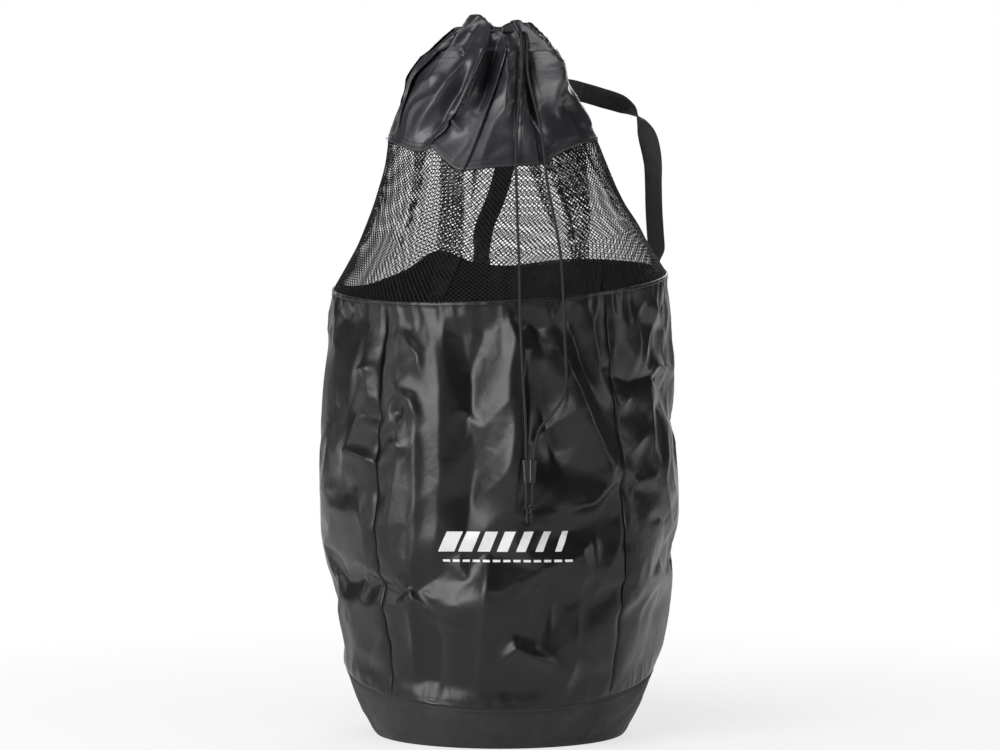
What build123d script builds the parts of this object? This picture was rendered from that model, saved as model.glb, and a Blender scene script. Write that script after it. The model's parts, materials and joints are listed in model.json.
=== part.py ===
from build123d import *
from math import ceil, cos, hypot, pi, radians, sin, tan
import os

# A soft drawstring ball bag, standing on its base and gathered shut at the top.
# Millimetres. +Z is up, the front of the bag faces -Y, and the origin is the centre
# of the base where it rests on the floor.

# ---- base and body ----
base_radius = 152.0          # round base panel
base_thickness = 1.6
heel_radius = 162.0          # where the base band turns up
heel_height = 12.0
band_top_radius = 193.0      # base band, at its seam with the body
band_seam_height = 86.0      # height of that seam on the bag's axis
band_seam_slope = 0.19       # the seam dips towards the front
band_wall = 1.6
band_flare = 0.33            # how far the body leans out as it leaves the band
shoulder_radius = 206.5      # body, a little above the band
shoulder_rise = 64.0         # above the band seam
belly_radius = 217.5         # widest place
belly_height = 300.0
rim_radius = 208.0           # body's top edge
rim_height = 565.0           # the rim's height on the axis
neck_drop = 45.0             # from the rim down, the body is an upright cylinder
rim_slope_x = 0.048
rim_slope_y = 0.16
panel_wall = 1.2
front_panel_angle = 82.0     # the front and back panels; the side panels take the rest
tape_width = 9.0             # tapes that bind the seams inside
tape_thickness = 0.8
binding_height = 5.0         # hems and bindings along an edge
binding_thickness = 0.8

# ---- mesh band, collar and drawcord casing ----
gather_x = -10.0             # the gathered mouth leans to this side of the axis
mesh_wall = 1.2
collar_radius_x = 130.0      # the collar's lower edge
collar_radius_y = 95.0
mesh_rise = 162.0            # on the axis, from the rim to the collar's lower edge
collar_slope = 0.30
collar_wall = 1.2
collar_rise = 115.0          # from there to the casing's lower stitch line
casing_radius = 76.0
hem_rise = 48.0              # from that stitch line to the top of the gathered hem
mouth_radius = 40.0
casing_wall = 8.0            # both layers and the cord between them
cord_diameter = 3.5
cord_rise = 26.0             # of the drawcord above the casing's lower stitch line
channel_clearance = 0.5      # round the cord in its casing
exit_angle = -51.0           # where the drawcord comes out, from +X towards +Y
exit_clearance = 0.6         # beside each strand in the exit
exit_half_angle = 4.0        # the loop stops this far to each side of the exit
exit_reach = 8.5             # how far each strand runs straight out of the casing

# ---- drawcord slider and knot ----
strand_x = 34.2              # where the two strands hang side by side
strand_clearance = 5.0       # from the body's fullest place to the middle of the strands
strand_spacing = 7.0
bore_clearance = 0.4
slider_height = 26.0
slider_top_width = 17.5
slider_bottom_width = 14.0
slider_depth = 9.0
slider_corner = 3.0
slider_groove = 1.4          # depth of the groove between its two barrels
slider_bottom = 320.0        # where it sits on the strands
knot_height = 291.0
knot_radius = 4.6            # of each of its two turns
knot_spread = 1.9            # from the middle to each turn
knot_entry = 1.0             # the strands end this far above the knot's middle
tail_length = 18.0
tail_splay = 4.0             # degrees each tail leans away from the other

# ---- shoulder strap ----
strap_width = 25.0
strap_thickness = 2.0
strap_clearance = 3.0        # from the bag to the middle of the strap that lies on it
sewn_gap = 0.2               # between the rim's binding and the strap's upper end
right_anchor_angle = 19.0    # the strap's sewn upper end, round the rim
back_rest_angle = 96.5       # where the strap passes over the back of the rim
back_rest_clearance = 12.0
base_anchor_angle = 60.0     # its sewn lower end, round the base seam
hinge_rise = 19.0            # the loop falls back about a line this far above the rim
hinge_gap = 2.0              # from that line to the webbing on each side
tab_length = 28.0
run_drop = 30.0              # from the hinge line down, the strap leans in to the body
bulge_per_station = 2.8      # of the body, for each station of the webbing below there

os.makedirs("parts", exist_ok=True)

neck_height = rim_height - neck_drop
collar_height = rim_height + mesh_rise
casing_height = collar_height + collar_rise
mouth_height = casing_height + hem_rise
cord_height = casing_height + cord_rise


# ---- planes and outlines ----
def tilted_plane(centre_x, height, slope_x, slope_y):
    """A plane that crosses the upright line at centre_x at the given height."""
    return Plane(
        origin=(centre_x, 0, height),
        x_dir=(1, 0, slope_x),
        z_dir=(-slope_x, -slope_y, 1),
    )


band_seam_plane = tilted_plane(0, band_seam_height, 0, band_seam_slope)
rim_plane = tilted_plane(0, rim_height, rim_slope_x, rim_slope_y)
collar_plane = tilted_plane(gather_x, collar_height, 0, collar_slope)
casing_plane = tilted_plane(gather_x, casing_height, 0, 0)
rim_rise = rim_radius * hypot(rim_slope_x, rim_slope_y)
open_space = 4 * belly_radius


def slab(plane, low, high):
    """All the space between two planes parallel to a seam's plane."""
    return extrude(plane.offset(low) * Rectangle(open_space, open_space), high - low)


def rim_radii(inset):
    radius = rim_radius - inset
    return rim_plane, radius * hypot(1, rim_slope_x), radius * hypot(1, rim_slope_y)


def collar_radii(inset):
    return (
        collar_plane,
        collar_radius_x - inset,
        (collar_radius_y - inset) * hypot(1, collar_slope),
    )


def casing_radii(inset):
    return casing_plane, casing_radius - inset, casing_radius - inset


def outline_face(plane, radius_x, radius_y):
    return plane * scale(Circle(1), by=(radius_x, radius_y, 1))


def skin_point(lower, upper, angle, share, clearance):
    """A point outside the skin between two edges, at an angle round them."""
    ends = []
    for plane, radius_x, radius_y in (lower(-clearance), upper(-clearance)):
        local = (radius_x * cos(radians(angle)), radius_y * sin(radians(angle)), 0)
        ends.append(plane.from_local_coords(Vector(*local)))
    return ends[0] * (1 - share) + ends[1] * share


def profile_edges(inset):
    """The outline of the base band and body, drawn in by inset."""
    seam = (band_top_radius - inset, 0, band_seam_height)
    neck = (rim_radius - inset, 0, neck_height)
    top = (rim_radius - inset, 0, rim_height + 2 * rim_rise)
    band = Polyline(
        (base_radius - inset, 0, base_thickness),
        (heel_radius - inset, 0, heel_height),
        seam,
    )
    belly = Spline(
        seam,
        (shoulder_radius - inset, 0, band_seam_height + shoulder_rise),
        (belly_radius - inset, 0, belly_height),
        neck,
        tangents=[(band_flare, 0, 1), (0, 0, 1)],
    )
    return [*band.edges(), belly, Line(neck, top)]


body_outline = Wire(profile_edges(0))


def wall_radius(height):
    """The body's outer radius at a height."""
    low, high = 0.0, 1.0
    for _ in range(40):
        middle = (low + high) / 2
        if body_outline.position_at(middle).Z < height:
            low = middle
        else:
            high = middle
    return body_outline.position_at(low).X


hanging_heights = [knot_height - tail_length, knot_height, slider_bottom, belly_height]
strand_y = -(max(wall_radius(height) for height in hanging_heights) + strand_clearance)


# ---- shells ----
def turned_shell(inset, wall):
    """Base band and body as one turned shell, before it is cut at its seams."""
    outer = profile_edges(inset)
    inner = profile_edges(inset + wall)
    foot = Line(outer[0] @ 0, inner[0] @ 0)
    cap = Line(outer[-1] @ 1, inner[-1] @ 1)
    return revolve(make_face([*outer, *inner, foot, cap]), Axis.Z)


def gathered_shell(lower, upper, inset, wall):
    """A skin of ruled sides between two closed edges."""
    outside = loft([outline_face(*lower(inset)), outline_face(*upper(inset))], ruled=True)
    inside = loft(
        [outline_face(*lower(inset + wall)), outline_face(*upper(inset + wall))],
        ruled=True,
    )
    return outside - inside


def wedge(start_angle, end_angle):
    """An upright slice of space about the axis, less than half a turn wide."""
    middle = (start_angle + end_angle) / 2
    reach = open_space / 2
    corners = [
        (reach * cos(radians(angle)), reach * sin(radians(angle)))
        for angle in (start_angle, middle, end_angle)
    ]
    return extrude(make_face(Polyline((0, 0), *corners, close=True)), open_space)


def seam_strip(angle, width):
    """An upright slab of space that runs outwards from the axis at an angle."""
    reach = open_space / 2
    strip = Pos(reach / 2, 0, open_space / 2) * Box(reach, width, open_space)
    return Rot(0, 0, angle) * strip


# ---- base ----
base_disc = Pos(0, 0, base_thickness / 2) * Cylinder(base_radius, base_thickness)
base_edge_binding = Pos(0, 0, base_thickness + tape_thickness / 2) * (
    Cylinder(base_radius - band_wall, tape_thickness)
    - Cylinder(base_radius - band_wall - tape_width, tape_thickness)
)
band_shell = turned_shell(0, band_wall)
base_band = band_shell & slab(band_seam_plane, -open_space / 2, 0)
band_seam_binding = turned_shell(band_wall, tape_thickness) & slab(
    band_seam_plane, -binding_height, binding_height
)

# ---- body panels and their seam tapes ----
body_shell = (
    turned_shell(0, panel_wall)
    & slab(band_seam_plane, 0, open_space)
    & slab(rim_plane, -open_space, 0)
)
seam_angles = [
    -90 - front_panel_angle / 2,
    -90 + front_panel_angle / 2,
    90 - front_panel_angle / 2,
    90 + front_panel_angle / 2,
]
panel_names = ["front_panel", "right_side_panel", "back_panel", "left_side_panel"]
panels = {
    name: body_shell & wedge(start, end)
    for name, start, end in zip(
        panel_names, seam_angles, seam_angles[1:] + [seam_angles[0] + 360]
    )
}
tape_shell = (
    turned_shell(panel_wall, tape_thickness)
    & slab(band_seam_plane, 2 * binding_height, open_space)
    & slab(rim_plane, -open_space, -binding_height)
)
tape_names = ["front_left", "front_right", "back_right", "back_left"]
seam_tapes = {
    name + "_seam_tape": tape_shell & seam_strip(angle, tape_width)
    for name, angle in zip(tape_names, seam_angles)
}
rim_binding = turned_shell(-binding_thickness, binding_thickness) & slab(
    rim_plane, -binding_height, 0
)

# ---- mesh band and collar ----
mesh_band = gathered_shell(rim_radii, collar_radii, 0, mesh_wall)
collar_hem_binding = gathered_shell(
    rim_radii, collar_radii, -binding_thickness, binding_thickness
) & slab(collar_plane, -binding_height, 0)
collar = gathered_shell(collar_radii, casing_radii, 0, collar_wall)

# ---- drawcord casing ----
casing_slope = (casing_radius - mouth_radius) / (mouth_height - casing_height)
cord_loop_radius = (
    casing_radius - casing_slope * (cord_height - casing_height) - casing_wall / 2
)
casing_section = make_face(
    Polyline(
        (casing_radius, 0, casing_height),
        (mouth_radius, 0, mouth_height),
        (mouth_radius - casing_wall, 0, mouth_height),
        (casing_radius - casing_wall, 0, casing_height),
        close=True,
    )
)
channel_radius = cord_diameter / 2 + channel_clearance


def ring_section(radius):
    return Plane.XZ * Pos(cord_loop_radius, cord_height) * Circle(radius)


exit_width = 2 * (
    cord_loop_radius * sin(radians(exit_half_angle)) + cord_diameter / 2 + exit_clearance
)
exit_slot = Rot(0, 0, exit_angle) * Pos(cord_loop_radius + casing_wall, 0, cord_height) * Box(
    2 * casing_wall, exit_width, 2 * channel_radius
)
drawcord_casing = Pos(gather_x, 0, 0) * (
    revolve(casing_section, Axis.Z) - revolve(ring_section(channel_radius), Axis.Z) - exit_slot
)
drawcord_loop = (
    Pos(gather_x, 0, 0)
    * Rot(0, 0, exit_angle + exit_half_angle)
    * revolve(ring_section(cord_diameter / 2), Axis.Z, 360 - 2 * exit_half_angle)
)
exit_x = gather_x + cord_loop_radius * cos(radians(exit_angle))
collar_seam_tape = gathered_shell(
    collar_radii, casing_radii, collar_wall, tape_thickness
) & (Pos(exit_x, -open_space / 4, casing_height) * Box(tape_width, open_space / 2, open_space))

# ---- drawcord strands ----
# Each strand leaves the casing at the front and hangs over the collar, the mesh and the
# rim. These points were chosen by hand, from the casing down to the straight stretch
# that runs through the slider to the knot.
left_strand_points = [
    (26.5, -56.5, 861.0),
    (26.2, -66.3, 851.0),
    (26.8, -74.0, 838.0),
    (27.2, -77.8, 818.0),
    (24.5, -82.5, 792.0),
    (22.5, -87.0, 766.0),
    (20.5, -91.6, 738.0),
    (19.2, -97.4, 712.0),
    (19.4, -107.0, 688.0),
    (20.0, -122.4, 664.0),
    (20.5, -140.0, 638.0),
    (21.4, -157.2, 612.5),
    (22.3, -174.8, 587.0),
    (22.9, -191.6, 563.0),
    (23.1, -205.6, 545.0),
    (23.5, -215.0, 521.0),
    (24.2, -216.8, 495.0),
    (25.6, -217.8, 466.0),
    (27.2, -219.8, 432.0),
]
left_straight_top = 384.0
right_strand_points = [
    (33.5, -51.0, 861.0),
    (33.5, -61.7, 850.5),
    (32.8, -70.5, 836.0),
    (33.5, -75.7, 813.0),
    (39.5, -78.2, 787.0),
    (46.0, -80.6, 762.0),
    (51.5, -84.5, 733.0),
    (54.3, -90.4, 707.0),
    (56.2, -101.4, 684.0),
    (59.6, -116.0, 661.0),
    (64.3, -132.2, 637.0),
    (68.6, -148.2, 612.5),
    (71.8, -164.2, 589.0),
    (73.2, -180.0, 567.0),
    (74.0, -195.2, 545.5),
    (74.6, -204.2, 523.0),
    (75.4, -205.6, 497.0),
    (76.6, -207.6, 468.0),
    (78.2, -209.0, 442.0),
    (74.5, -210.9, 417.0),
    (58.5, -216.2, 396.5),
]
right_straight_top = 374.0


def strand_route(side, points, straight_top):
    """Straight out of the casing, along the chosen points, then straight to the knot."""
    angle = radians(exit_angle + side * exit_half_angle)
    outward = Vector(cos(angle), sin(angle), 0)
    start = Vector(gather_x, 0, cord_height) + outward * cord_loop_radius
    hanging_x = strand_x + side * strand_spacing / 2
    return [
        start,
        start + outward * exit_reach,
        *[Vector(*point) for point in points],
        Vector(hanging_x, strand_y, straight_top),
        Vector(hanging_x, strand_y, knot_height + knot_entry),
    ]


def cord_tube(name, points, diameter):
    """A tube of straight runs and tangent arcs; prints its radii and checks its volume."""
    radii = []
    for before, corner, after in zip(points, points[1:], points[2:]):
        arriving = corner - before
        leaving = after - corner
        turn = radians(arriving.get_angle(leaving))
        radii.append(0.45 * min(arriving.length, leaving.length) / tan(turn / 2))
    path = FilletPolyline(*points, radius=radii)
    section = Plane(origin=path @ 0, z_dir=path % 0) * Circle(diameter / 2)
    tube = sweep(section, path=path)
    expected = pi * diameter**2 / 4 * path.length
    print(name, "length", round(path.length, 1), "least radius", round(min(radii), 1))
    print(name, "radii", [round(radius) for radius in radii])
    print(name, "volume over section times length", round(tube.volume / expected, 4))
    return tube


drawcord_left_strand = cord_tube(
    "drawcord_left_strand",
    strand_route(-1, left_strand_points, left_straight_top),
    cord_diameter,
)
drawcord_right_strand = cord_tube(
    "drawcord_right_strand",
    strand_route(1, right_strand_points, right_straight_top),
    cord_diameter,
)

# ---- knot and slider ----
knot_place = Pos(strand_x, strand_y, knot_height)
drawcord_knot = Pos(-knot_spread, 0, 0) * Sphere(knot_radius)
drawcord_knot = drawcord_knot + Pos(knot_spread, 0, 0) * Sphere(knot_radius)
for side in (-1, 1):
    tail_place = Pos(side * cord_diameter / 2, 0, -tail_length / 2)
    tail_place = tail_place * Rot(0, -side * tail_splay, 0)
    drawcord_knot = drawcord_knot + tail_place * Cylinder(cord_diameter / 2, tail_length)
drawcord_knot = knot_place * drawcord_knot

slider_sides = Polyline(
    (-slider_bottom_width / 2, 0),
    (slider_bottom_width / 2, 0),
    (slider_top_width / 2, slider_height),
    (-slider_top_width / 2, slider_height),
    close=True,
)
slider_block = extrude(Plane.XZ * make_face(slider_sides), slider_depth / 2, both=True)
upright_edges = slider_block.edges().filter_by(lambda edge: abs((edge % 0.5).Z) > 0.9)
slider_block = fillet(upright_edges, slider_corner)
groove_radius = slider_corner
groove_place = slider_depth / 2 + groove_radius - slider_groove
slider_cuts = [
    Pos(0, side * groove_place, slider_height / 2) * Cylinder(groove_radius, 2 * slider_height)
    for side in (-1, 1)
] + [
    Pos(side * strand_spacing / 2, 0, slider_height / 2)
    * Cylinder(cord_diameter / 2 + bore_clearance, 2 * slider_height)
    for side in (-1, 1)
]
for cut in slider_cuts:
    slider_block = slider_block - cut
cord_slider = Pos(strand_x, strand_y, slider_bottom) * slider_block


# ---- shoulder strap ----
def rim_place(angle, clearance):
    """A point at an angle round the rim, outside it by the clearance."""
    radius = rim_radius + clearance
    x = radius * cos(radians(angle))
    y = radius * sin(radians(angle))
    return Vector(x, y, rim_height + rim_slope_x * x + rim_slope_y * y)


def level(point, height):
    return Vector(point.X, point.Y, height)


anchor_rim = rim_place(right_anchor_angle, strap_clearance)
hinge_height = anchor_rim.Z + hinge_rise
right_hinge = level(anchor_rim, hinge_height)
back_hinge = level(rim_place(back_rest_angle, back_rest_clearance), hinge_height)
hinge_axis = (back_hinge - right_hinge).normalized()
hinge_outward = hinge_axis.cross(Vector(0, 0, 1))
mesh_foot = skin_point(rim_radii, collar_radii, back_rest_angle, 0, 0)
mesh_top = skin_point(rim_radii, collar_radii, back_rest_angle, 1, 0)
mesh_outward = (mesh_top - mesh_foot).cross(Vector(1, 0, 0)).normalized()
print("strands hang at y", round(strand_y, 3))
print("strap hinge from", right_hinge, "to", back_hinge, "axis", hinge_axis)

# The loop rises from the right anchor and turns over once. Each line holds a step
# from the anchor and how far the webbing has twisted there, in degrees.
loop_rise = [
    ((-1.0, 3.0, 22.0), 0),
    ((-2.5, 7.5, 52.0), 0),
    ((-3.0, 11.0, 84.0), 0),
    ((-3.5, 14.0, 112.0), 8),
    ((-7.0, 16.5, 134.0), 25),
    ((-12.0, 18.0, 152.0), 55),
    ((-18.5, 19.0, 167.0), 92),
    ((-29.0, 20.0, 180.0), 135),
    ((-45.0, 21.0, 189.0), 165),
    ((-68.0, 22.5, 196.5), 178),
    ((-92.0, 22.0, 203.5), 180),
]
# Then it passes behind the collar and comes down the back of the mesh. Each line holds
# an angle round the skin, a share of the way up it and a clearance.
collar_crossing = [(40, 0.66, 26.0), (52, 0.62, 20.0), (66, 0.35, 12.0), (78, 0.06, 10.0)]
mesh_descent = [(84, 0.78, 8.0), (89.5, 0.52, 7.0), (95.5, 0.25, 7.0)]


def turned_about(vector, axis, angle):
    """The vector turned about a unit axis square to it, in degrees."""
    return vector * cos(radians(angle)) + axis.cross(vector) * sin(radians(angle))


def webbing(stations):
    """Flat webbing through stations of centre, outward face and twist."""
    centres = [centre for centre, outward, twist, width in stations]
    sections = []
    for index, (centre, outward, twist, width) in enumerate(stations):
        before = centres[max(index - 1, 0)]
        after = centres[min(index + 1, len(centres) - 1)]
        along = (after - before).normalized()
        if width is None:
            width = turned_about(along.cross(outward).normalized(), along, twist)
        along = (along - width * along.dot(width)).normalized()
        place = Plane(origin=centre, x_dir=width, z_dir=along)
        sections.append(place * Rectangle(strap_width, strap_thickness))
    return loft(sections, ruled=True)


loop_stations = [(right_hinge + Vector(0, 0, hinge_gap), hinge_outward, 0, hinge_axis)]
for step, twist in loop_rise:
    loop_stations.append((right_hinge + Vector(*step), hinge_outward, twist, None))
for angle, share, clearance in collar_crossing:
    centre = skin_point(collar_radii, casing_radii, angle, share, clearance)
    loop_stations.append((centre, Vector(0, 1, 0), 180, None))
for angle, share, clearance in mesh_descent:
    centre = skin_point(rim_radii, collar_radii, angle, share, clearance)
    loop_stations.append((centre, mesh_outward, 180, None))
loop_stations.append((back_hinge + Vector(0, 0, hinge_gap), hinge_outward, 0, hinge_axis))
strap_loop = webbing(loop_stations)

# Below the hinge line the webbing slants down the back and is sewn into the base seam.
foot_y = band_top_radius * sin(radians(base_anchor_angle))
foot_height = band_seam_height + band_seam_slope * foot_y + binding_height
back_top = back_hinge.Z - run_drop
run_steps = ceil((belly_radius - band_top_radius) / bulge_per_station)
run_stations = [(back_hinge - Vector(0, 0, hinge_gap), hinge_outward, 0, hinge_axis)]
for step in range(run_steps + 1):
    share = step / run_steps
    height = back_top + (foot_height - back_top) * share
    angle = radians(back_rest_angle + (base_anchor_angle - back_rest_angle) * share)
    outward = Vector(cos(angle), sin(angle), 0)
    gap = strap_clearance if step < run_steps else strap_thickness
    centre = outward * (wall_radius(height) + gap) + Vector(0, 0, height)
    run_stations.append((centre, outward, 180, None))
strap_back_run = webbing(run_stations)

tab_angle = radians(right_anchor_angle)
tab_outward = Vector(cos(tab_angle), sin(tab_angle), 0)
tab_across = Vector(-sin(tab_angle), cos(tab_angle), 0)
tab_top = anchor_rim.Z + strap_width / 2 * hypot(rim_slope_x, rim_slope_y)
tab_reach = rim_radius + binding_thickness + sewn_gap + strap_thickness / 2
tab_centre = tab_outward * tab_reach
strap_upper_tab = webbing(
    [
        (level(tab_centre, anchor_rim.Z - tab_length), tab_outward, 0, tab_across),
        (level(tab_centre, tab_top), tab_outward, 0, tab_across),
        (right_hinge - Vector(0, 0, hinge_gap), hinge_outward, 0, hinge_axis),
    ]
)

nodes = {
    "base_disc": base_disc,
    "base_edge_binding": base_edge_binding,
    "base_band": base_band,
    "band_seam_binding": band_seam_binding,
    **panels,
    **seam_tapes,
    "rim_binding": rim_binding,
    "mesh_band": mesh_band,
    "collar_hem_binding": collar_hem_binding,
    "collar": collar,
    "collar_seam_tape": collar_seam_tape,
    "drawcord_casing": drawcord_casing,
    "drawcord_loop": drawcord_loop,
    "drawcord_left_strand": drawcord_left_strand,
    "drawcord_right_strand": drawcord_right_strand,
    "drawcord_knot": drawcord_knot,
    "cord_slider": cord_slider,
    "strap_upper_tab": strap_upper_tab,
    "strap_loop": strap_loop,
    "strap_back_run": strap_back_run,
}
for name, solid in nodes.items():
    export_step(Compound(children=list(solid.solids())), f"parts/{name}.step")
    print(name, len(solid.solids()), "solids,", round(solid.volume), "cubic mm")
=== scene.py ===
import json
from math import cos, pi, radians, sin

import bmesh
import bpy
import numpy as np
from bpy.props import FloatProperty, FloatVectorProperty, PointerProperty
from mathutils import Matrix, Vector, noise


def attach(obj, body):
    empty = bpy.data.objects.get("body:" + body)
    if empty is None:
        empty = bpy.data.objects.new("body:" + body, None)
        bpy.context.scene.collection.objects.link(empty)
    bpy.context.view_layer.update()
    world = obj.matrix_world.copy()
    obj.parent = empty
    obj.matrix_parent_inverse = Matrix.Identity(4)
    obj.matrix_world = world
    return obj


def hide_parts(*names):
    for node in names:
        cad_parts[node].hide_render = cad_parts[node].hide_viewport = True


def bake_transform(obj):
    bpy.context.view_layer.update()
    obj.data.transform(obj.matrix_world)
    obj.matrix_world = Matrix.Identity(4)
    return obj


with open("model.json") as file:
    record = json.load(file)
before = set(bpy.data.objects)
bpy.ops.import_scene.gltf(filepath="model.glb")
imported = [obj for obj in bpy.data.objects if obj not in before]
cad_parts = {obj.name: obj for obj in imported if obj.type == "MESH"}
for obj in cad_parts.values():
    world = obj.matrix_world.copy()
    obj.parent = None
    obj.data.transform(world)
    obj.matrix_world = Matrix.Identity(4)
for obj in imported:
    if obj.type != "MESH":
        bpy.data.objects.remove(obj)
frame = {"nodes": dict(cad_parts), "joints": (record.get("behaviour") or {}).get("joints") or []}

bl_info = {
    "name": "Drawstring Ball Bag",
    "version": (1, 0, 0),
    "blender": (4, 5, 0),
    "location": "3D View > Sidebar > Ball Bag",
    "description": "Builds the cloth, net, cord and webbing of a drawstring ball bag round its solid frame",
    "category": "Object",
}


# ---- fixed numbers ----
# The bag stands on its base with its front towards -Y. Lengths are in metres. Angles run
# round from +X, anticlockwise seen from above.
RIM_SLOPE = (0.048, 0.16)  # the rim rises to the right and to the back
BAND_SLOPE = 0.19
COLLAR_SLOPE = 0.30
GATHER_X = -0.010  # the gathered top leans a little to the left
SEAM_ANGLES = (-131.0, -49.0, 49.0, 131.0)
SEAM_DRIFT_LOW = (-4.0, 4.0, -1.5, 2.0)
SEAM_DRIFT_HIGH = (0.0, -4.0, 2.0, -1.0)
PANEL_NAMES = ("front_panel", "right_side_panel", "back_panel", "left_side_panel")
TAPE_NAMES = ("front_left", "front_right", "back_right", "back_left")
HEAVY_CLOTH = 0.0014  # thickness of the base cloth
FLOOR_GAP = 0.0016  # height of the base sheet
TAPE_WIDTH, TAPE_THICKNESS = 0.009, 0.0008
TAPE_INSET = 0.0022  # how far inside the cloth the seam tapes lie
LOOP_RADIUS, LOOP_HEIGHT = 0.0525, 0.868  # the drawcord inside its casing
CORD_GAP = 0.0024  # the front cloth stays this far behind the middle of a strand
CORD_SPAN = (0.26, 0.53)  # heights between which the strands lie on the cloth
KNOT = (0.0342, -0.2225, 0.2905)
STRAP_HINGE = next(joint for joint in frame["joints"] if joint["name"] == "strap_fall_back")
HINGE_HEIGHT = STRAP_HINGE["pos_m"][2]
RIGHT_SUPPORT = (0.1995, 0.0687)
BACK_SUPPORT = (-0.0249, 0.2186)
# The webbing that runs down the back: heights of its foot and top, and where it stands there.
RUN_HEIGHTS = (0.123, 0.575)
RUN_ANGLES = (60.0, 96.5)
SETTLE_ROWS, SETTLE_COLUMNS = 84, 210
SETTLE_FRAMES = 20
SETTLE_LIMIT = 0.015  # no point of the cloth moves further than this
CLOTH_RULES = {
    "quality": 5, "mass": 0.15, "tension_stiffness": 20, "compression_stiffness": 20,
    "shear_stiffness": 8, "bending_stiffness": 0.8, "vertex_group_mass": "held",
    "shrink_min": -0.011, "use_pressure": True, "uniform_pressure_force": 0.20,
}
CREASE_LEVEL = 0.6  # height in a crease pattern that counts as the plain cloth
PANEL_ROWS, PANEL_COLUMNS_PER_DEGREE = 190, 1.45
NET_ROWS = 67
STRAP_STEPS = 9  # points of the webbing from one stop of its route to the next
STRAP_MIDDLE = 13  # the stop on top of the loop, where its two halves meet
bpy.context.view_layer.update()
# What is worked out once and then used again: the settled cloth and the finishes.
SETTLED = {}
FINISHES = {}

# The strands' points, from the loop in the casing down to the knot.
LEFT_STRAND = (
    (0.0201, -0.0430, 0.868), (0.0250, -0.0500, 0.868),
    (0.0265, -0.0565, 0.861), (0.0262, -0.0663, 0.851), (0.0268, -0.0740, 0.838), (0.0272, -0.0778, 0.818),
    (0.0245, -0.0825, 0.792), (0.0225, -0.0870, 0.766), (0.0205, -0.0916, 0.738), (0.0192, -0.0974, 0.712),
    (0.0194, -0.1070, 0.688), (0.0200, -0.1224, 0.664), (0.0205, -0.1400, 0.638), (0.0214, -0.1572, 0.6125),
    (0.0223, -0.1748, 0.587), (0.0229, -0.1916, 0.563), (0.0231, -0.2056, 0.545), (0.0235, -0.2150, 0.521),
    (0.0242, -0.2168, 0.495), (0.0256, -0.2178, 0.466), (0.0272, -0.2198, 0.432), (0.0307, -0.2225, 0.384),
    (0.0307, -0.2225, 0.292),
)
RIGHT_STRAND = (
    (0.0258, -0.0384, 0.868), (0.0316, -0.0446, 0.868),
    (0.0335, -0.0510, 0.861), (0.0335, -0.0617, 0.8505), (0.0328, -0.0705, 0.836), (0.0335, -0.0757, 0.813),
    (0.0395, -0.0782, 0.787), (0.0460, -0.0806, 0.762), (0.0515, -0.0845, 0.733), (0.0543, -0.0904, 0.707),
    (0.0562, -0.1014, 0.684), (0.0596, -0.1160, 0.661), (0.0643, -0.1322, 0.637), (0.0686, -0.1482, 0.6125),
    (0.0718, -0.1642, 0.589), (0.0732, -0.1800, 0.567), (0.0740, -0.1952, 0.5455), (0.0746, -0.2042, 0.523),
    (0.0754, -0.2056, 0.497), (0.0766, -0.2076, 0.468), (0.0782, -0.2090, 0.442), (0.0745, -0.2109, 0.417),
    (0.0585, -0.2162, 0.3965), (0.0377, -0.2225, 0.374), (0.0377, -0.2225, 0.292),
)
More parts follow.
